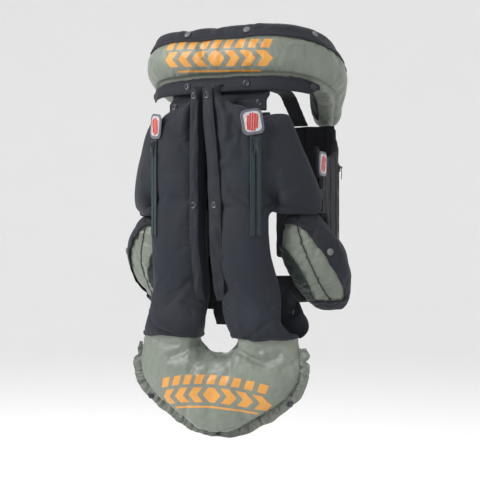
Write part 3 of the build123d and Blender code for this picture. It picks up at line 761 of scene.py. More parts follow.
def build_back():
    nodes = ["right_back_cover", "left_back_cover", "right_wing_cover", "left_wing_cover", "tail_bag"]
    webs = [((sign * 112, -118, -92), (26, 16, 30)) for sign in (1, -1)]
    bag = cad_skin("back_cushion", nodes, stretch, voxel=4.4 * MM, swell=4 * MM, rounds=7, lumps=webs)
    points, normals = points_of(bag), normals_of(bag)
    high = (np.abs(points[:, 0]) > 0.094) & (points[:, 2] > -0.073)
    points[high, 2] = -0.073 + (points[high, 2] + 0.073) * 0.25
    behind = np.clip(-normals[:, 1], 0, 1)
    flat = points[:, [0, 2]]
    outline = np.array([(-33, -486), (-33, -498), (-18, -514), (18, -514), (33, -498), (33, -486)]) * MM
    near = to_line(flat, outline)
    low = smooth_step(-points[:, 2], 0.484, 0.492)
    thin = 1 - 0.8 * bell(near, 0.017) * low
    points[:, 1] = -0.103 + (points[:, 1] + 0.103) * thin
    away = unit(flat - np.array((0, -0.489)))
    points[:, [0, 2]] += away * (5.5 * MM * bell(near, 0.012) * low)[:, None]
    points[:, 2] -= 9 * MM * smooth_step(-points[:, 2], 0.61, 0.66) * bell(points[:, 0], 0.06)
    for sign, height, spread, amount in INNER_EDGES:
        inside = bell(np.maximum(sign * points[:, 0] - 0.008, 0), 0.03) * (sign * points[:, 0] > 0.001)
        points[:, 0] += sign * amount * MM * inside * bell(points[:, 2] - height, spread)
    flat = points[:, [0, 2]]
    depth = np.zeros(len(points))
    for line, width, amount in BACK_FOLDS:
        near = bell(to_line(flat, np.asarray(line) * MM), width * MM)
        depth += amount * MM * near * behind
    for side in (1, -1):
        hollow = np.linalg.norm(flat - np.array([side * 0.121, -0.226]), axis=1)
        depth += 26 * MM * bell(hollow, 0.018) * behind
    move_to(bag, points - normals * depth[:, None])
    soften(bag, 2)
    points, normals = points_of(bag), normals_of(bag)
    flat = points[:, [0, 2]]
    valleys = [to_line(flat, [(x, -0.085), (x, -0.198)]) for x in (0.119, -0.119)]
    weight = bell(np.minimum(*valleys), 0.02) * (normals[:, 1] < 0.2)
    weigh(bag, "valley", weight)
    modify(bag, "SMOOTH", factor=0.5, iterations=150, vertex_group="valley")
    bake(bag)
    bag.vertex_groups.clear()
    points, normals = points_of(bag), normals_of(bag)
    flat = points[:, [0, 2]]
    rim = bell(normals[:, 1], 0.2) * smooth_step(-points[:, 2], 0.49, 0.52)
    top = smooth_step(points[:, 2], -0.05, -0.02)
    zips = [to_line(flat, [(x, -0.11), (x, -0.30)]) for x in (0.1066, -0.1066)]
    seam = bell(np.minimum(*zips), 0.009)
    inner = bell(np.abs(points[:, 0]) - 0.012, 0.012) * (points[:, 2] > -0.44)
    inflate(bag, rim + top + seam + inner, 2.0, 0.016, 4 * MM)
    subdivide(bag)
    points, normals = points_of(bag), normals_of(bag)
    edge = np.abs(points[:, 2] - LEVEL)
    shape = waves(points * (1, 1, 0.35), 0.022, 3.1)
    low = smooth_step(-points[:, 2], 0.5, 0.53)
    rim = bell(normals[:, 1], 0.45) * low
    pucker = waves(points, 0.0075, 8.0) * rim * 2.4 * MM
    gather = bell(edge, 0.012) * waves(points * (1, 1, 0.1), 0.008, 5.0) * 0.9 * MM
    nylon = smooth_step(-points[:, 2], 0.49, 0.5)
    crumple = np.abs(waves(points * (0.45, 1, 1), 0.02, 6.0)) - 0.3
    crumple = crumple * (0.5 + bell(points[:, 2] + 0.51, 0.02)) + 0.45 * waves(points, 0.009, 2.0)
    push(bag, shape * 0.9 * MM + pucker + gather - crumple * nylon * 2.2 * MM)
    return bag


def build_covers(bag):
    tail = cut(bag, "tail_airbag", tail_cloth, (0, 0, LEVEL + 0.012), (0, 0, -1), hem_wave)
    points = points_of(tail)
    under = smooth_step(points[:, 2], LEVEL - 0.002, LEVEL + 0.004)
    push(tail, -1.2 * MM * under)
    add(tail, ["tail_bag", "right_back_bladder", "left_back_bladder"], "padded", fill=0.9)
    both = cut(bag, "back_covers", stretch, (0, 0, LEVEL), (0, 0, 1), hem_wave)
    points = points_of(both)
    over = points[:, 2] - LEVEL - np.array([hem_wave(x) for x in points[:, 0]])
    hem = (1 - smooth_step(over, 6.5 * MM, 9 * MM)) * 0.9 * MM
    line = bell(over - 7.5 * MM, 1.2 * MM) * -0.8 * MM
    push(both, hem + line + 0.2 * MM)
    covers = {}
    for side, sign in SIDES.items():
        cover = cut(both, f"{side}_back_cushion", stretch, (0, 0, 0), (sign, 0, 0))
        thicken(cover, 1.5 * MM)
        covers[side] = add(cover, [f"{side}_back_cover", f"{side}_wing_cover"], "padded", fill=0.85)
    drop(both)
    return covers


back_bag = build_back()
back_covers = build_covers(back_bag)
drop(back_bag)
cover_trees = {side: tree_of(piece) for side, piece in back_covers.items()}

# ---- collar --------------------------------------------------------------------------------------

COLLAR_HALF = [(0, -90, 50), (60, -89, 50), (118, -72, 49), (152, -28, 42), (163, 28, 26), (151, 83, 5),
               (132, 130, -23), (114, 168, -52)]
collar_tube = Tube([(-x, y, z) for x, y, z in COLLAR_HALF[:0:-1]] + COLLAR_HALF)
SEAM_ANGLE = -64  # where the collar's bag is sewn to its bottom flap
HEM_ANGLE = 42  # where the black cover's hem lies on the bag


def build_collar():
    bag = cad_skin("collar_airbag", ["collar_bag"], collar_cloth, voxel=4.6 * MM, rounds=3)
    station, angle, _ = collar_tube.place(points_of(bag))
    at_seam = bell(angle - SEAM_ANGLE, 9)
    at_hem = bell(angle - HEM_ANGLE - 6, 8)
    ends = smooth_step(np.abs(station - 0.5), 0.44, 0.49)
    inflate(bag, at_seam + at_hem + ends, 3.0, 0.035, 5 * MM)
    subdivide(bag)
    points = points_of(bag)
    station, angle, _ = collar_tube.place(points)
    at_seam = bell(angle - SEAM_ANGLE, 6)
    at_hem = bell(angle - HEM_ANGLE, 5)
    near = bell(angle - SEAM_ANGLE - 13, 14)
    bend = 0.35 + 0.65 * smooth_step(station, 0.55, 0.66)
    along = np.array([wobble(s * 105, a / 60, 0) for s, a in zip(station, angle)])
    seams = -4 * MM * at_seam - 1.2 * MM * at_hem
    push(bag, seams + along * near * bend * 2.6 * MM + waves(points, 0.03, 2) * 0.8 * MM)
    return add(bag, ["collar_bag"], "padded", fill=0.95)


def collar_grid(tree, stations, angles, lift):
    """Rows of points over the collar's bag; angles and lift are functions of the station."""
    rows = []
    for s in stations:
        a = angles(s)
        rows.append([collar_tube.skin(tree, s, angle, lift(s, angle)) for angle in a])
    return np.array(rows)


def build_collar_cover(tree):
    stations = np.linspace(0.035, 0.965, 190)

    def angles(s):
        low = HEM_ANGLE + 2.2 * wobble(s * 14, 0, 0) - 17 * smooth_step(abs(s - 0.5), 0.13, 0.33)
        return low + (236 - low) * np.linspace(0, 1, 44) ** 1.15

    def lift(s, angle):
        loose = bell(angle - HEM_ANGLE, 9) * (0.9 + 1.2 * wobble(s * 30, 1.7, 0))
        roll = bell(angle - HEM_ANGLE - 2, 2.4) * 0.9
        soft = wobble(s * 26, angle / 24, 4.0) * 1.3
        stand = 4.2 * bell(angle - 70, 13)
        return (1.7 + loose + roll + soft + stand) * MM

    rows = collar_grid(tree, stations, angles, lift)
    cover = grid("collar_cover", rows, black, thick=1.5 * MM)
    length = float(steps(rows[:, 0]).sum())
    width = float(steps(rows[len(rows) // 2]).sum())
    add(cover, ["collar_top_flap", "collar_sleeve"], "sheet", flat=(width, length), held="stretched",
        rests_on=["collar_airbag"])
    return cover, rows


def build_skirt(tree):
    """The bottom flap: sewn under the tube's outer foot and hanging upright, with pointed ends."""
    last = float(collar_tube.place([np.array((0.152, -0.028, 0.042))])[0][0])
    stations = np.linspace(1 - last - 0.008, last + 0.008, 150)
    halves = curve_through([(d, h, 0) for d, h in ((37, 48), (37, 48), (38, 48), (40, 47), (41, 45))], 150)
    rows = []
    for s in stations:
        centre, out, _ = collar_tube.at(s)
        deep, tall = (np.interp(abs(s - 0.5) * 298, np.arange(150), halves[:, k]) * MM for k in (0, 1))
        end = min(s - stations[0], stations[-1] - s)
        drop_by = (9 + 13.5 * float(smooth_step(end, 0.0, 0.03))) * MM
        row = [collar_tube.skin(tree, s, -84, 0.0), collar_tube.skin(tree, s, -72, 0.8 * MM)]
        for t in np.linspace(0, 1, 9):
            swing = (1.4 * sin(t * 2.6) + 1.3 * t * wobble(s * 30, t * 0.6, 9)) * MM
            down = np.array((0, 0, -2.2 * MM - tall - drop_by * t))
            row.append(centre + out * (0.62 * deep + swing) + down)
        rows.append(row)
    rows = np.array(rows)
    skirt = grid("collar_bottom_flap_cloth", rows, black, thick=2.2 * MM)
    length = float(steps(rows[:, 6]).sum())
    add(skirt, ["collar_bottom_flap"], "sheet", flat=(0.04, length), held="hung", rests_on=["collar_airbag"])
    return skirt, rows


collar_tree = tree_of(build_collar())
collar_cover, cover_rows = build_collar_cover(collar_tree)
skirt, skirt_rows = build_skirt(collar_tree)

# ---- hip airbags ---------------------------------------------------------------------------------

HIP_SEAM = [(158, -96, -262), (163, -108, -278), (173, -104, -315), (184, -86, -356), (190, -45, -399),
            (196, -18, -419)]
COVER_CUT = ((170, -104, -278), (0.603, 0.501, 0.619))
LINING_CUT = ((134, -110, -307), (-0.634, -0.526, -0.569))
HIP_BLEND = 6 * MM  # how softly the cover's edges run into each other
HIP_TOP, HIP_FOOT = -0.273, -0.419  # the black cover wraps the bag above and below these heights


def mirrored(values, sign):
    return np.asarray(values, float) * (sign, 1, 1)


def build_hip(side, sign):
    bag = cad_skin(f"{side}_hip_airbag", [f"{side}_hip_bag"], sage, voxel=4 * MM, rounds=3)
    seam = curve_through(mirrored(HIP_SEAM, sign) * MM, 60)
    near = bell(to_line(points_of(bag), seam), 5 * MM)
    ends = smooth_step(np.abs(points_of(bag)[:, 2] + 0.348), 0.078, 0.088)
    inflate(bag, near + ends, 3.0, 0.05, 6 * MM)
    subdivide(bag)
    points = points_of(bag)
    away = to_line(points, seam)
    index = np.array([np.argmin(((seam - p) ** 2).sum(axis=1)) for p in points]) / 59
    cross = np.array([wobble(t * 17, a / 0.05, 3.0 * sign) for t, a in zip(index, away)])
    fine = np.array([wobble(t * 34, a / 0.08, 7.0) for t, a in zip(index, away)])
    reach = bell(away, 0.032)
    push(bag, -2.6 * MM * bell(away, 2.6 * MM) + reach * (cross * 3.2 + fine * 1.3) * MM)
    add(bag, [f"{side}_hip_bag"], "padded", fill=0.9)

    def beyond(cut):
        spot, way = mirrored(cut[0], sign) * MM, mirrored(cut[1], sign)
        return lambda points: (points - spot) @ way

    def covered(points):
        parts = [beyond(COVER_CUT)(points), points[:, 2] - HIP_TOP, HIP_FOOT - points[:, 2]]
        return HIP_BLEND * np.log(sum(np.exp(np.clip(part / HIP_BLEND, -40, 40)) for part in parts))

    def lined(points):
        return np.minimum(beyond(LINING_CUT)(points), -covered(points) + HIP_BLEND)

    shells = {}
    for part, field, material, lift in (
        ("cover", covered, black, (2.4, 2.0, 2.6)),
        ("lining", lined, mesh_cloth, (1.0, 3.4, 3.0)),
    ):
        shell = cut_along(bag, f"{side}_hip_{part}_cloth", material, field)
        points = points_of(shell)
        over = field(points)
        edge = np.exp(-np.maximum(over, 0) / 0.011)
        rough = waves(points, 0.011 if part == "lining" else 0.024, 6.0)
        roll = bell(over - 2 * MM, 2.2 * MM) * 0.8
        swell = (1.8 if part == "cover" else 0.9) * rough
        push(shell, (lift[0] + edge * (lift[1] + lift[2] * rough) * 0.8 + roll + swell) * MM)
        thicken(shell, 1.4 * MM, 0)
        area = sum(p.area for p in shell.data.polygons) / 2
        size = (0.2, round(area / 0.2 / 0.78, 4))
        add(shell, [f"{side}_hip_{part}"], "sheet", flat=size, held="gathered", area=area,
            rests_on=[bag.name])
        shells[part] = shell
    tree = tree_of(bag)
    hits = [tree.find_nearest(Vector(p)) for p in seam]
    normals = np.array([hit[1] for hit in hits])
    path = np.array([hit[0] for hit in hits]) + normals * 0.5 * MM
    across = np.cross(unit(np.gradient(path, axis=0)), normals)
    ring = [(cos(a) * 1.1 * MM, sin(a) * 0.6 * MM) for a in np.linspace(0, tau, 8, endpoint=False)]
    tube = [[p + c * u + n * v for u, v in ring] for p, c, n in zip(path, across, normals)]
    grid(f"{side}_hip_seam", tube, thread, ring=True)
    stitches(f"{side}_hip_seam_stitches", [(path + across * d * MM, normals) for d in (-3, 3)], thread,
             radius=0.25 * MM)
    return shells


hips = {side: build_hip(side, sign) for side, sign in SIDES.items()}

# ---- strips beside the slit, side flaps and the tail's hem ---------------------------------------


def band_length(rows):
    """The length and width of a grid of points, along and across its middle."""
    rows = np.asarray(rows)
    length = steps(rows[:, rows.shape[1] // 2]).sum()
    width = steps(rows[len(rows) // 2]).sum()
    return round(float(width), 4), round(float(length), 4)


# Each strip's free and sewn edges, as distances from the middle at a height; the gap leans a little.
STRIP_EDGES = {
    "right": [(-20, -4, 17), (-60, 0, 22), (-110, 6, 29), (-180, 12, 36), (-230, 14, 40), (-300, 14.5, 40),
              (-341, 13, 38), (-395, 11, 34), (-418, 12, 30)],
    "left": [(-20, 10.5, 26), (-60, 10, 26), (-110, 9, 25), (-230, 8, 25), (-300, 9, 26), (-341, 10, 27),
             (-395, 12, 29), (-418, 14, 29)],
}


def build_placket(side, sign):
    """A folded strip beside the slit: its inner edge hangs free and its outer edge is sewn to the lobe."""
    line = curve_through([(-20, -169.5), (-60, -174), (-110, -177.6), (-200, -178.4), (-290, -177),
                          (-350, -164), (-392, -153), (-418, -149)], 150) * MM
    edges = np.array(STRIP_EDGES[side])[::-1] * MM
    rows = []
    for number, (z, y) in enumerate(line):
        t = number / (len(line) - 1)
        y += 9 * MM * smooth_step(t, 0.94, 1.0)
        inner = np.interp(z, edges[:, 0], edges[:, 1]) + 0.7 * MM * sin(t * 21 + sign)
        outer = np.interp(z, edges[:, 0], edges[:, 2])
        row = []
        for u in np.linspace(0, 1, 13):
            x = inner + (outer - inner) * u
            slant = (z + 0.9 * x) / 0.026
            ripple = wobble(slant, u * 1.2, 5.0 * sign) * (5.0 + 3.0 * smooth_step(t, 0.7, 0.85))
            crown = 0.6 * (1 - (2 * u - 1) ** 2) - 2.6 * (1 - u) ** 4 - 0.8 * u**3
            edge = -0.6 * (bell(u - 0.12, 0.05) + bell(u - 0.9, 0.05))
            row.append((sign * x, y - (crown + ripple * 0.7 * sin(pi * u) + edge) * MM, z))
        rows.append(row)
    strip = grid(f"{side}_placket_strip", rows, black, thick=1.8 * MM)
    add(strip, [f"{side}_placket"], "sheet", flat=band_length(rows), held="stretched",
        rests_on=[f"{side}_back_cushion"])
    rows = np.array(rows)
    paths = []
    for column in (1, 11):
        path = rows[:, column] + (0, -1.0 * MM, 0)
        paths.append((path, np.tile((0.0, -1.0, 0.0), (len(path), 1))))
    stitches(f"{side}_placket_stitches", paths, pale_thread, radius=0.42 * MM)
    return strip


def build_side_flap(side, sign):
    """The rim of the cover beside a lobe's foot: a gathered flap with a turned edge."""
    outer = [(117, -383), (133, -397), (150, -415), (164, -438), (175, -463), (181, -488)]
    inner = [(98, -386), (100, -405), (104, -425), (112, -447), (122, -468), (134, -489)]
    outer, inner = (curve_through(line, 90) * MM for line in (outer, inner))
    rows = []
    for number, (a, b) in enumerate(zip(inner, outer)):
        t = number / 89
        b = a + (b - a) * (1 - 0.5 * t**14)
        row = []
        for u in np.linspace(0, 1, 15):
            x, z = a + (b - a) * u
            flat = 1 - np.exp(-(((x - 0.140) ** 2 + (z + 0.440) ** 2) / 0.0105**2))
            fold = wobble(t * 5.5 + u * 1.4, u * 1.1, 2.0 * sign) * 4.4 * u**0.6 * flat
            pleat = 3.2 * bell(t - 0.72 + 0.1 * u, 0.035) * u
            roll = 1.1 * bell(u - 0.95, 0.05)
            row.append((sign * x, (-77.6 - 6.0 * (1 - u) ** 2 - fold - roll - pleat) * MM, z))
        rows.append(row)
    flap = grid(f"{side}_side_flap_cloth", rows, black, thick=1.6 * MM)
    add(flap, [f"{side}_side_flap"], "sheet", flat=(0.06, 0.125), area=0.0055, held="hung",
        rests_on=[f"{side}_back_cushion"])
    return flap


HEM_LINE = [(171, -505), (172, -520), (171, -530), (170, -548), (160, -581), (139, -601), (117, -619),
            (94, -633), (70, -647), (36, -660)]
HEM_RINGS = [(0.148, -0.610), (0.0, -0.672)]  # the hem lies flat round its snaps


def build_tail_hem():
    """The gathered band round the tail, cut longer than the seam that it is sewn to."""
    half = np.array(HEM_LINE)
    line = np.vstack([half, [(0, -664)], (half * (-1, 1))[::-1]])
    seam = curve_through(line, 460) * MM
    along = unit(np.gradient(seam, axis=0))
    away = np.stack([along[:, 1], -along[:, 0]], axis=1)
    if away[len(away) // 2][1] > 0:
        away = -away
    rows = []
    for number, (spot, out) in enumerate(zip(seam, away)):
        t = number / (len(seam) - 1)
        ends = min(smooth_step(t, 0, 0.03), smooth_step(1 - t, 0, 0.03))
        wide = (17.5 + 3.6 * wobble(t * 19, 0, 1)) * (0.55 + 0.45 * ends) * MM
        pinch = bell(t - 0.045, 0.011) + bell(t - 0.955, 0.011)
        wide *= 1 - 0.5 * pinch
        if spot[0] < 0:
            wide *= 0.25 + 0.75 * smooth_step(-spot[1], 0.512, 0.545)
        row = []
        for u in np.linspace(0, 1, 14):
            sway = wobble(t * 40, u * 0.5, 5.0) * 2.4 * u * MM
            x, z = spot + out * (wide * u - 4 * MM * (1 - u)) + along[number] * sway
            fold = wobble(t * 66, u * 0.8, 3.0) * 8.5 + wobble(t * 130, u, 8.0) * 3.2
            fold *= sin(pi * min(u * 0.66 + 0.1, 1)) * (1 - 0.45 * u)
            away_sq = [(abs(x) - ring_x) ** 2 + (z - ring_z) ** 2 for ring_x, ring_z in HEM_RINGS]
            flat = min(1 - np.exp(-(value / 0.0095**2)) for value in away_sq)
            roll = 1.5 * bell(u - 0.94, 0.06) - 0.9 * bell(u - 0.8, 0.04)
            row.append((x, (-105.4 - (fold + roll + 2.0 * sin(pi * u)) * flat) * MM, z))
        rows.append(row)
    hem = grid("tail_hem_cloth", rows, shaded_hem_cloth, thick=1.4 * MM)
    width, length = band_length(rows)
    add(hem, ["tail_hem_flap"], "sheet", flat=(width, round(length * 1.15, 4)), held="gathered",
        rests_on=["tail_airbag"])
    return hem


plackets = {side: build_placket(side, sign) for side, sign in SIDES.items()}
side_flaps = {side: build_side_flap(side, sign) for side, sign in SIDES.items()}
tail_hem = build_tail_hem()

# ---- pads: yoke, inner back, lumbar, tab, shoulder straps, front panels, pouch -------------------


def quilt(points, normals, spacing, depth):
    """Grooves between upright channels, counted round the wearer."""
    around = points[:, 0] * np.sign(points[:, 0] + 1e-9) - points[:, 1] * (points[:, 1] > 0)
    phase = np.abs(((around / spacing) % 1) - 0.5) * spacing
    upright = 1 - np.abs(normals[:, 2])
    return -depth * bell(phase, 2.2 * MM) * upright


def pad(name, nodes, material, voxel, channel=0.0, lumps=0.8, fill=0.7, rounds=2, swell=0.6):
    """A sewn pad: the CAD solid's shape with rounded edges, sewn channels and a little unevenness."""
    piece = cad_skin(name, nodes, material, voxel=voxel * MM, rounds=rounds)
    subdivide(piece)
    points, normals = points_of(piece), normals_of(piece)
    amounts = waves(points, 0.024, 1.0) * lumps * MM + swell * MM
    if channel:
        amounts += quilt(points, normals, channel * MM, 1.9 * MM)
    push(piece, amounts)
    return add(piece, nodes, "padded", fill=fill)


yoke = pad("yoke_cloth", ["yoke"], black, 3.0, lumps=1.4, swell=0.2)
rise = points_of(yoke)
rise[:, 2] += 17 * MM * smooth_step(rise[:, 2], -0.045, -0.026)
rise[:, 1] += 15 * MM * smooth_step(rise[:, 2], -0.043, -0.028)
move_to(yoke, rise)
pad("inner_back_pad", ["inner_back_panel"], pad_cloth, 3.4, channel=26)
pad("lumbar_pad_cloth", ["lumbar_pad"], pad_cloth, 3.2, channel=22)


def build_tab():
    """The tongue at the foot of the lumbar pad: a stitched flap that narrows downwards."""
    rows = []
    for t in np.linspace(0, 1, 26):
        half = 17.5 - 6.5 * smooth_step(t, 0.25, 1.0)
        row = []
        for u in np.linspace(-1, 1, 17):
            back = -74.2 - 1.6 * cos(u * 1.4) * sin(t * 2.6) - 0.7 * t * u
            row.append(((u * half - 9) * MM, back * MM, (-434 - 34 * t) * MM))
        rows.append(row)
    piece = grid("hem_tab_cloth", rows, black, thick=2.2 * MM)
    add(piece, ["hem_tab"], "sheet", flat=(0.034, 0.034), area=0.00098, held="hung")
    rows = np.array(rows)
    paths = [(rows[:, k] + (0, -1.2 * MM, 0), np.tile((0.0, -1.0, 0.0), (26, 1))) for k in (1, 15)]
    stitches("hem_tab_stitches", paths, thread)


build_tab()
for side in SIDES:
    pad(f"{side}_front_pad", [f"{side}_front_panel"], pad_cloth, 4.2, channel=30, lumps=1.2)
    pad(f"{side}_shoulder_pad", [f"{side}_shoulder_strap"], pad_cloth, 2.8, lumps=0.6)
pad("cartridge_pouch_cloth", ["cartridge_pouch"], black, 2.2, lumps=0.7, fill=0.3)

yoke_tree = tree_of(yoke)
yoke_seam = curve_through([(-101, -0.2, -43), (-70, 0, -35), (-34, 0, -28)], 60) * MM
yoke_paths = [drop_on(yoke_tree, yoke_seam * (sign, 1, 1) + (0, -0.1, dz), (0, 1, 0)) for sign in (1, -1)
              for dz in (0, -0.004)]
stitches("yoke_stitches", yoke_paths, thread, pitch=4.2 * MM, length=2.8 * MM, radius=0.5 * MM)

# ---- webbing -------------------------------------------------------------------------------------


def strap(name, line, width, up, nodes, body="vest", thick=1.6, held="stretched", rests_on=()):
    """Flat webbing along a line, with thick selvedges."""
    line = curve_through(line, 24 * len(line)) * MM
    up = unit(np.asarray(up, float))
    along = unit(np.gradient(line, axis=0))
    across = unit(up - (along @ up)[:, None] * along)
    face = np.cross(along, across)
    rows = []
    for spot, side, out in zip(line, across, face):
        row = []
        for u in np.linspace(-1, 1, 11):
            rib = 0.35 * bell(abs(u) - 0.93, 0.06)
            row.append(spot + side * u * width / 2 * MM + out * rib * MM)
        rows.append(row)
    piece = grid(name, rows, webbing_cloth, thick=thick * MM, body=body)
    return add(piece, nodes, "sheet", flat=band_length(rows), held=held, rests_on=list(rests_on))


webbing_cloth = cloth("woven_webbing", (0.007, 0.008, 0.01), (0.024, 0.025, 0.03), 0.6, 0.1, 1.4 * MM,
                      0.3 * MM)
ring_points = [(144 * cos(t), 14 + 95 * sin(t), -398.5) for t in np.linspace(radians(116), radians(424), 40)]
strap("waist_belt_webbing", ring_points, 52, (0, 0, 1), ["waist_belt"], thick=2.6)
for side, sign in SIDES.items():
    for number, z in enumerate((-196, -240)):
        line = [(174.5 * sign, 2, z), (174.5 * sign, -20, z), (180 * sign, -34, z), (196 * sign, -59, z)]
        nodes = ["side_straps"] if (side, number) == ("right", 0) else []
        strap(f"{side}_side_strap_{number + 1}", line, 24, (0, 0, 1), nodes)
BUCKLES = {"chest": (146, -120, -74), "belly": (146, -215, -74), "waist": (112.5, -398, -64)}
for number, (name, (y, z, end)) in enumerate(BUCKLES.items()):
    loop = [(end, y, z), (-52, y, z), (-41, y + 0.2, z), (-36, y + 2.2, z), (-33, y, z)]
    strap(f"{name}_socket_strap", loop, 24, (0, 0, 1), ["socket_straps"] if number == 0 else [])


PLUG_END = 10.29 * MM  # past this the CAD's plug is webbing


def build_plug(name, y, z):
    """The buckle's plug without its webbing, which is its own woven piece on the same body."""
    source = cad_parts[f"{name}_buckle_plug"]
    bm = bmesh.new()
    bm.from_mesh(source.data)
    bmesh.ops.remove_doubles(bm, verts=bm.verts, dist=WELD)
    everything = bm.verts[:] + bm.edges[:] + bm.faces[:]
    ends = bmesh.ops.bisect_plane(bm, geom=everything, plane_co=(PLUG_END, 0, 0), plane_no=(1, 0, 0),
                                  clear_outer=True)
    edges = [item for item in ends["geom_cut"] if isinstance(item, bmesh.types.BMEdge)]
    bmesh.ops.holes_fill(bm, edges=edges)
    plug = from_bmesh(f"{name}_plug_shell", bm, moulded)
    modify(plug, "BEVEL", width=0.7 * MM, segments=3, limit_method="ANGLE", angle_limit=radians(35))
    bake(plug)
    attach(plug, f"{name}_buckle_plug")
    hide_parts(f"{name}_buckle_plug")
    line = [(7, y, z), (25, y, z), (43, y, z), (61, y, z), (67.5, y, z)]
    strap(f"{name}_plug_strap", line, 24, (0, 0, 1), [], body=f"{name}_buckle_plug", thick=1.3)


for name, (y, z, _) in BUCKLES.items():
    build_plug(name, y, z)

# ---- zips ----------------------------------------------------------------------------------------


class Wall:
    """A plane that faces out of an upright wall, in mm: across runs along the wall, and up is height."""

    def __init__(self, x, y, z, turn):
        self.spot = np.array((x, y, z), float)
        self.out = np.array((cos(radians(turn)), sin(radians(turn)), 0))
        self.across = np.cross((0, 0, 1), self.out)

    def at(self, across, up, out):
        return (self.spot + self.across * across + np.array((0, 0, up)) + self.out * out) * MM


CORNER = np.array((105.0, 72.0))
FRONT_SPOT = CORNER + 69 * np.array((cos(radians(20)), sin(radians(20))))
WALLS = {
    "right_back_zip": (Wall(106.6, -168.9, -205, -57), 184),
    "left_back_zip": (Wall(-106.6, -168.9, -205, -123), 184),
    "right_front_zip": (Wall(*FRONT_SPOT, -235, 20), 170),
    "left_front_zip": (Wall(-FRONT_SPOT[0], FRONT_SPOT[1], -235, 160), 170),
}


# A zip tape's section on one side: distance from the zip's middle, and height over the wall.
TAPE_SECTION = [(1.1, -0.3), (1.5, 0.1), (2.2, 0.35), (5.5, 0.45), (8.6, 0.5), (9.5, 0.35), (9.9, -0.5)]


def build_zip(name, wall, length):
    """Two woven tapes with turned edges, a coil of teeth between them and a stitched bar."""
    half = length / 2
    ups = np.linspace(-half, half, 90)
    parts = []
    for side in (-1, 1):
        rows = []
        for up in ups:
            sway = 0.35 * wobble(up * 0.05, side, 2.0)
            row = []
            for u, rise in TAPE_SECTION:
                row.append(wall.at(side * u + sway * (u > 2), up, rise + 0.4 * sway))
            rows.append(row)
        rows = np.array(rows)
        parts.append((list(rows.reshape(-1, 3)), grid_faces(*rows.shape[:2])))
    tape = make(f"{name}_tape", *join_parts(parts), teal_tape)
    thicken(tape, 0.6 * MM, 0)
    add(tape, [name], "sheet", flat=(0.02, length * MM), held="stretched")
    parts = []
    for up in np.arange(-half + 3, half - 3, 1.5):
        for side in (-1, 1):
            shift = 0.375 * side
            ring = []
            for a in np.linspace(0, tau, 7, endpoint=False):
                across = side * (1.05 + 1.15 * cos(a))
                ring.append((across, up + shift + 0.18 * sin(2 * a), 0.55 + 0.6 * sin(a)))
            points, faces = [], []
            count = len(ring)
            for i, (a, b, c) in enumerate(ring):
                nearer = np.array(ring[(i + 1) % count]) - np.array(ring[i - 1])
                lift = unit(np.cross(nearer, (0, 1, 0)))
                for k in range(4):
                    turn = k * tau / 4
                    offset = 0.3 * (lift * cos(turn) + np.array((0, 1, 0)) * sin(turn))
                    points.append(wall.at(a + offset[0], b + offset[1], c + offset[2]))
            for i in range(count):
                n = (i + 1) % count
                for k in range(4):
                    m = (k + 1) % 4
                    faces.append((i * 4 + k, i * 4 + m, n * 4 + m, n * 4 + k))
            parts.append((points, faces))
    make(f"{name}_coil", *join_parts(parts), coil)
    paths = []
    for side in (-1, 1):
        path = [wall.at(side * 8.2, up, 0.85) for up in np.linspace(-half + 1, half - 1, 60)]
        paths.append((path, np.tile(wall.out, (60, 1))))
    for up in (-half + 1.2, -half + 2.4, half - 1.2):
        path = [wall.at(across, up, 0.9) for across in np.linspace(-9.5, 9.5, 20)]
        paths.append((path, np.tile(wall.out, (20, 1))))
    stitches(f"{name}_stitches", paths, thread, pitch=2.8 * MM, length=1.9 * MM, radius=0.3 * MM)


for name, (wall, length) in WALLS.items():
    build_zip(name, wall, length)

# ---- label pockets -------------------------------------------------------------------------------


def rounded(width, height, radius, count=6):
    """A rounded rectangle's outline."""
    outline = []
    for cx, cy, start in ((1, 1, 0), (-1, 1, 90), (-1, -1, 180), (1, -1, 270)):
        for a in np.linspace(start, start + 90, count):
            outline.append((cx * (width / 2 - radius) + radius * cos(radians(a)),
                            cy * (height / 2 - radius) + radius * sin(radians(a))))
    return outline


def plate(wall, centre, size, radius, low, high, lean=0.0):
    """A thin raised plate on a wall with a rounded edge, leaning by an angle in degrees."""
    rings = []
    turn = radians(lean)
    for inset, out in ((0.0, low), (0.0, high - 0.3), (0.35, high), (1.2, high + 0.05)):
        ring = []
        for a, b in rounded(size[0] - 2 * inset, size[1] - 2 * inset, max(radius - inset, 0.3)):
            x, y = a * cos(turn) - b * sin(turn), a * sin(turn) + b * cos(turn)
            ring.append(wall.at(centre[0] + x, centre[1] + y, out))
        rings.append(ring)
    count = len(rings[0])
    points = [p for ring in rings for p in ring]
    faces = grid_faces(len(rings), count, True)
    faces.append(tuple(3 * count + j for j in range(count)))
    return points, faces


# The bars on a label's card: middle, width and height.
LABEL_BARS = [(-8.8, 0, 4.1, 27), (-4.4, 1, 4.1, 32), (0, 0, 4.1, 34), (4.4, -1, 4.1, 32), (8.8, 0, 4.1, 27)]


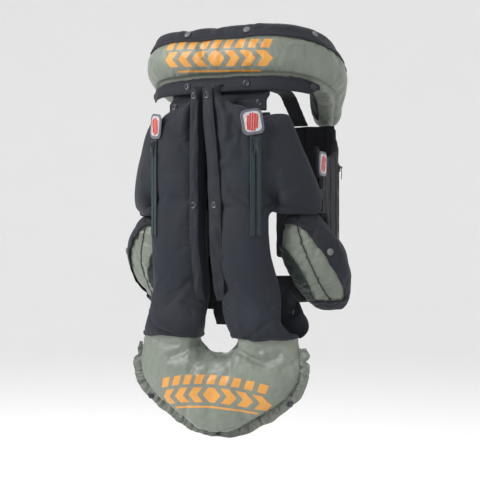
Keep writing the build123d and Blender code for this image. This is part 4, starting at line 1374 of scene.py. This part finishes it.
def build_label(name, wall, lean, sign):
    """A clear pocket with a sewn border and a card inside that has an abstract red pattern."""

    def tilted(a, b):
        turn = radians(lean)
        return a * cos(turn) - b * sin(turn), a * sin(turn) + b * cos(turn)

    make(f"{name}_frame", *plate(wall, (0, 0), (41, 47), 11, -1.2, 0.6, lean), vinyl)
    make(f"{name}_card", *plate(wall, tilted(0.5 * sign, 0.5), (31, 37), 8, 0.3, 0.95, lean), card_white)
    silver = [plate(wall, tilted(x * sign, 0), (2.6, 27), 1.2, 0.6, 1.25, lean) for x in (-12.9, 13.1)]
    make(f"{name}_strips", *join_parts(silver), card_silver)
    bars = []
    for x, y, w, h in LABEL_BARS:
        bars.append(plate(wall, tilted(x * sign, y), (w, h), 1.2, 0.6, 1.2, lean - 11 * sign))
    make(f"{name}_pattern", *join_parts(bars), card_red)
    path = [wall.at(*tilted(a, b), 0.7) for a, b in rounded(37.5, 43.5, 9.5, 10)]
    stitches(f"{name}_stitches", [(path + path[:1], np.tile(wall.out, (len(path) + 1, 1)))], thread,
             pitch=3.2 * MM, length=2.1 * MM, radius=0.28 * MM)


build_label("right_back_label", Wall(101, -172, -88, -57), 9, 1)
build_label("left_back_label", Wall(-101, -172, -88, -123), -9, -1)
build_label("right_front_label", Wall(174.6, -4, -157, 0), -3, 1)
build_label("left_front_label", Wall(-174.6, -4, -157, 180), 3, -1)
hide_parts("label_pockets")

# ---- snaps ---------------------------------------------------------------------------------------

# A snap's socket and cap: radius and height of each ring.
RING_PROFILE = [(6.3, -0.6), (6.35, 0.4), (6.0, 0.95), (5.3, 1.0), (4.7, 0.55), (4.2, 0.6), (3.9, 1.3),
                (3.3, 1.6), (2.75, 1.45), (2.55, 0.9), (2.5, -0.4), (0.9, -0.45), (0.01, -0.45)]
CAP_PROFILE = [(6.2, -0.6), (6.6, -0.1), (6.7, 0.5), (6.3, 1.2), (5.4, 1.75), (3.9, 2.15), (2.0, 2.35),
               (0.01, 2.4)]


def plates_of(node):
    """The middle and the outward direction of each flat round part in a node."""
    bm = bmesh.new()
    bm.from_mesh(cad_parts[node].data)
    bmesh.ops.remove_doubles(bm, verts=bm.verts, dist=WELD)
    found = []
    for part in islands(bm):
        points = np.array([v.co for v in part])
        centre = points.mean(axis=0) * 0.5 + (points.min(axis=0) + points.max(axis=0)) / 2 * 0.5
        normal = np.linalg.svd(points - points.mean(axis=0))[2][2]
        outward = centre * (1, 1, 0) + (0, 0, 0.03 if centre[2] > 0 else 0)
        if normal @ outward < 0:
            normal = -normal
        found.append((centre - normal * 0.6 * MM, normal))
    bm.free()
    return found


def seat(piece, spot, normal):
    """The point of a piece's surface under a snap and the cloth's direction there."""
    way = Vector(unit(normal))
    hit, facing, _, _ = tree_of(piece).ray_cast(Vector(spot) + way * 0.03, -way, 0.07)
    if hit is None:
        return spot, normal
    facing = np.array(facing) * (1 if facing.dot(way) > 0 else -1)
    return np.array(hit), unit(facing + 1.5 * np.array(way))


def under_ring(spot):
    """The soft piece that carries a ring, and where the ring sits across it."""
    x, _, z = spot
    side = "right" if x > 0 else "left"
    if z > -0.02:
        return skirt, spot
    if abs(x) < 0.03 and z > -0.3:
        edges = np.array(STRIP_EDGES[side])[::-1] * MM
        middle = (np.interp(z, edges[:, 0], edges[:, 1]) + np.interp(z, edges[:, 0], edges[:, 2])) / 2
        return plackets[side], np.array((middle * SIDES[side], spot[1], z))
    if z > -0.06:
        return yoke, spot
    return (side_flaps[side] if z > -0.5 else tail_hem), spot


cap_parts = []
for spot, normal in plates_of("snap_caps"):
    if spot[2] > 0:  # on the collar's cover
        station = float(collar_tube.place([spot])[0][0])
        station += (0.5 - station) * (0.06 if abs(spot[0]) > 0.1 or spot[1] > 0 else 0)
        centre, out, up = collar_tube.at(station)
        angle = radians(36 if spot[1] > 0 else 60)
        way = out * cos(angle) + up * sin(angle)
        spot, normal = seat(collar_cover, centre + way * 0.05, way)
        normal = unit(normal + 0.5 * out)
    else:
        side = "right" if spot[0] > 0 else "left"
        spot, normal = seat(hips[side]["cover"], spot, normal)
    cap_parts.append(lathe(CAP_PROFILE, spot + normal * 0.5 * MM, normal))
caps = make("snap_cap_domes", *join_parts(cap_parts), cap_plastic)
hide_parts("snap_caps")
ring_parts = []
for spot, normal in plates_of("snap_rings"):
    piece, spot = under_ring(spot)
    spot, normal = seat(piece, spot, normal)
    ring_parts.append(lathe(RING_PROFILE, spot + normal * 0.9 * MM, normal))
rings = make("snap_sockets", *join_parts(ring_parts), snap_metal)
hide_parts("snap_rings")

# ---- stitched edges ------------------------------------------------------------------------------


def grid_path(rows, column, lift):
    """A path along one column of a grid of points, with the grid's normals there."""
    rows = np.asarray(rows)
    along = np.gradient(rows[:, column], axis=0)
    other = rows[:, column + 1] - rows[:, column - 1]
    normals = unit(np.cross(along, other))
    middle = rows.reshape(-1, 3).mean(axis=0) * (1, 1, 0)
    if (normals * (rows[:, column] - middle * 0.3)).sum() < 0:
        normals = -normals
    return rows[:, column] + normals * lift, normals


stitches("collar_cover_stitches", [grid_path(cover_rows, 3, 0.9 * MM)], thread)
stitches("skirt_stitches", [grid_path(skirt_rows, column, 1.2 * MM) for column in (3, 9)], thread)
for side, sign in SIDES.items():
    xs = np.linspace(0.03, 0.15, 90) * sign
    level = [(x, 0, LEVEL + hem_wave(x) + 7.5 * MM) for x in xs]
    path = drop_on(cover_trees[side], level, (0, 1, 0))
    stitches(f"{side}_cover_hem_stitches", [path], thread)

# ---- finishes on the parts kept from the CAD -----------------------------------------------------

FINISHES = {
    moulded: ["buckle_sockets", "ladder_locks"],
    cast_metal: ["inflator_body"],
    steel: ["firing_pin", "firing_spring"],
    key_red: ["release_key"],
    gas_steel: ["gas_cartridge"],
    rubber: ["gas_hose"],
    zip_metal: [f"{name}_{part}" for name in WALLS for part in ("slider", "pull")],
}
for material, nodes in FINISHES.items():
    for node in nodes:
        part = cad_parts[node]
        part.data.materials[0] = material
        modify(part, "WELD", merge_threshold=0.005 * MM)
        small = node.endswith(("slider", "pull"))
        modify(part, "BEVEL", width=(0.25 if small else 0.6) * MM, segments=2, limit_method="ANGLE",
               angle_limit=radians(35))
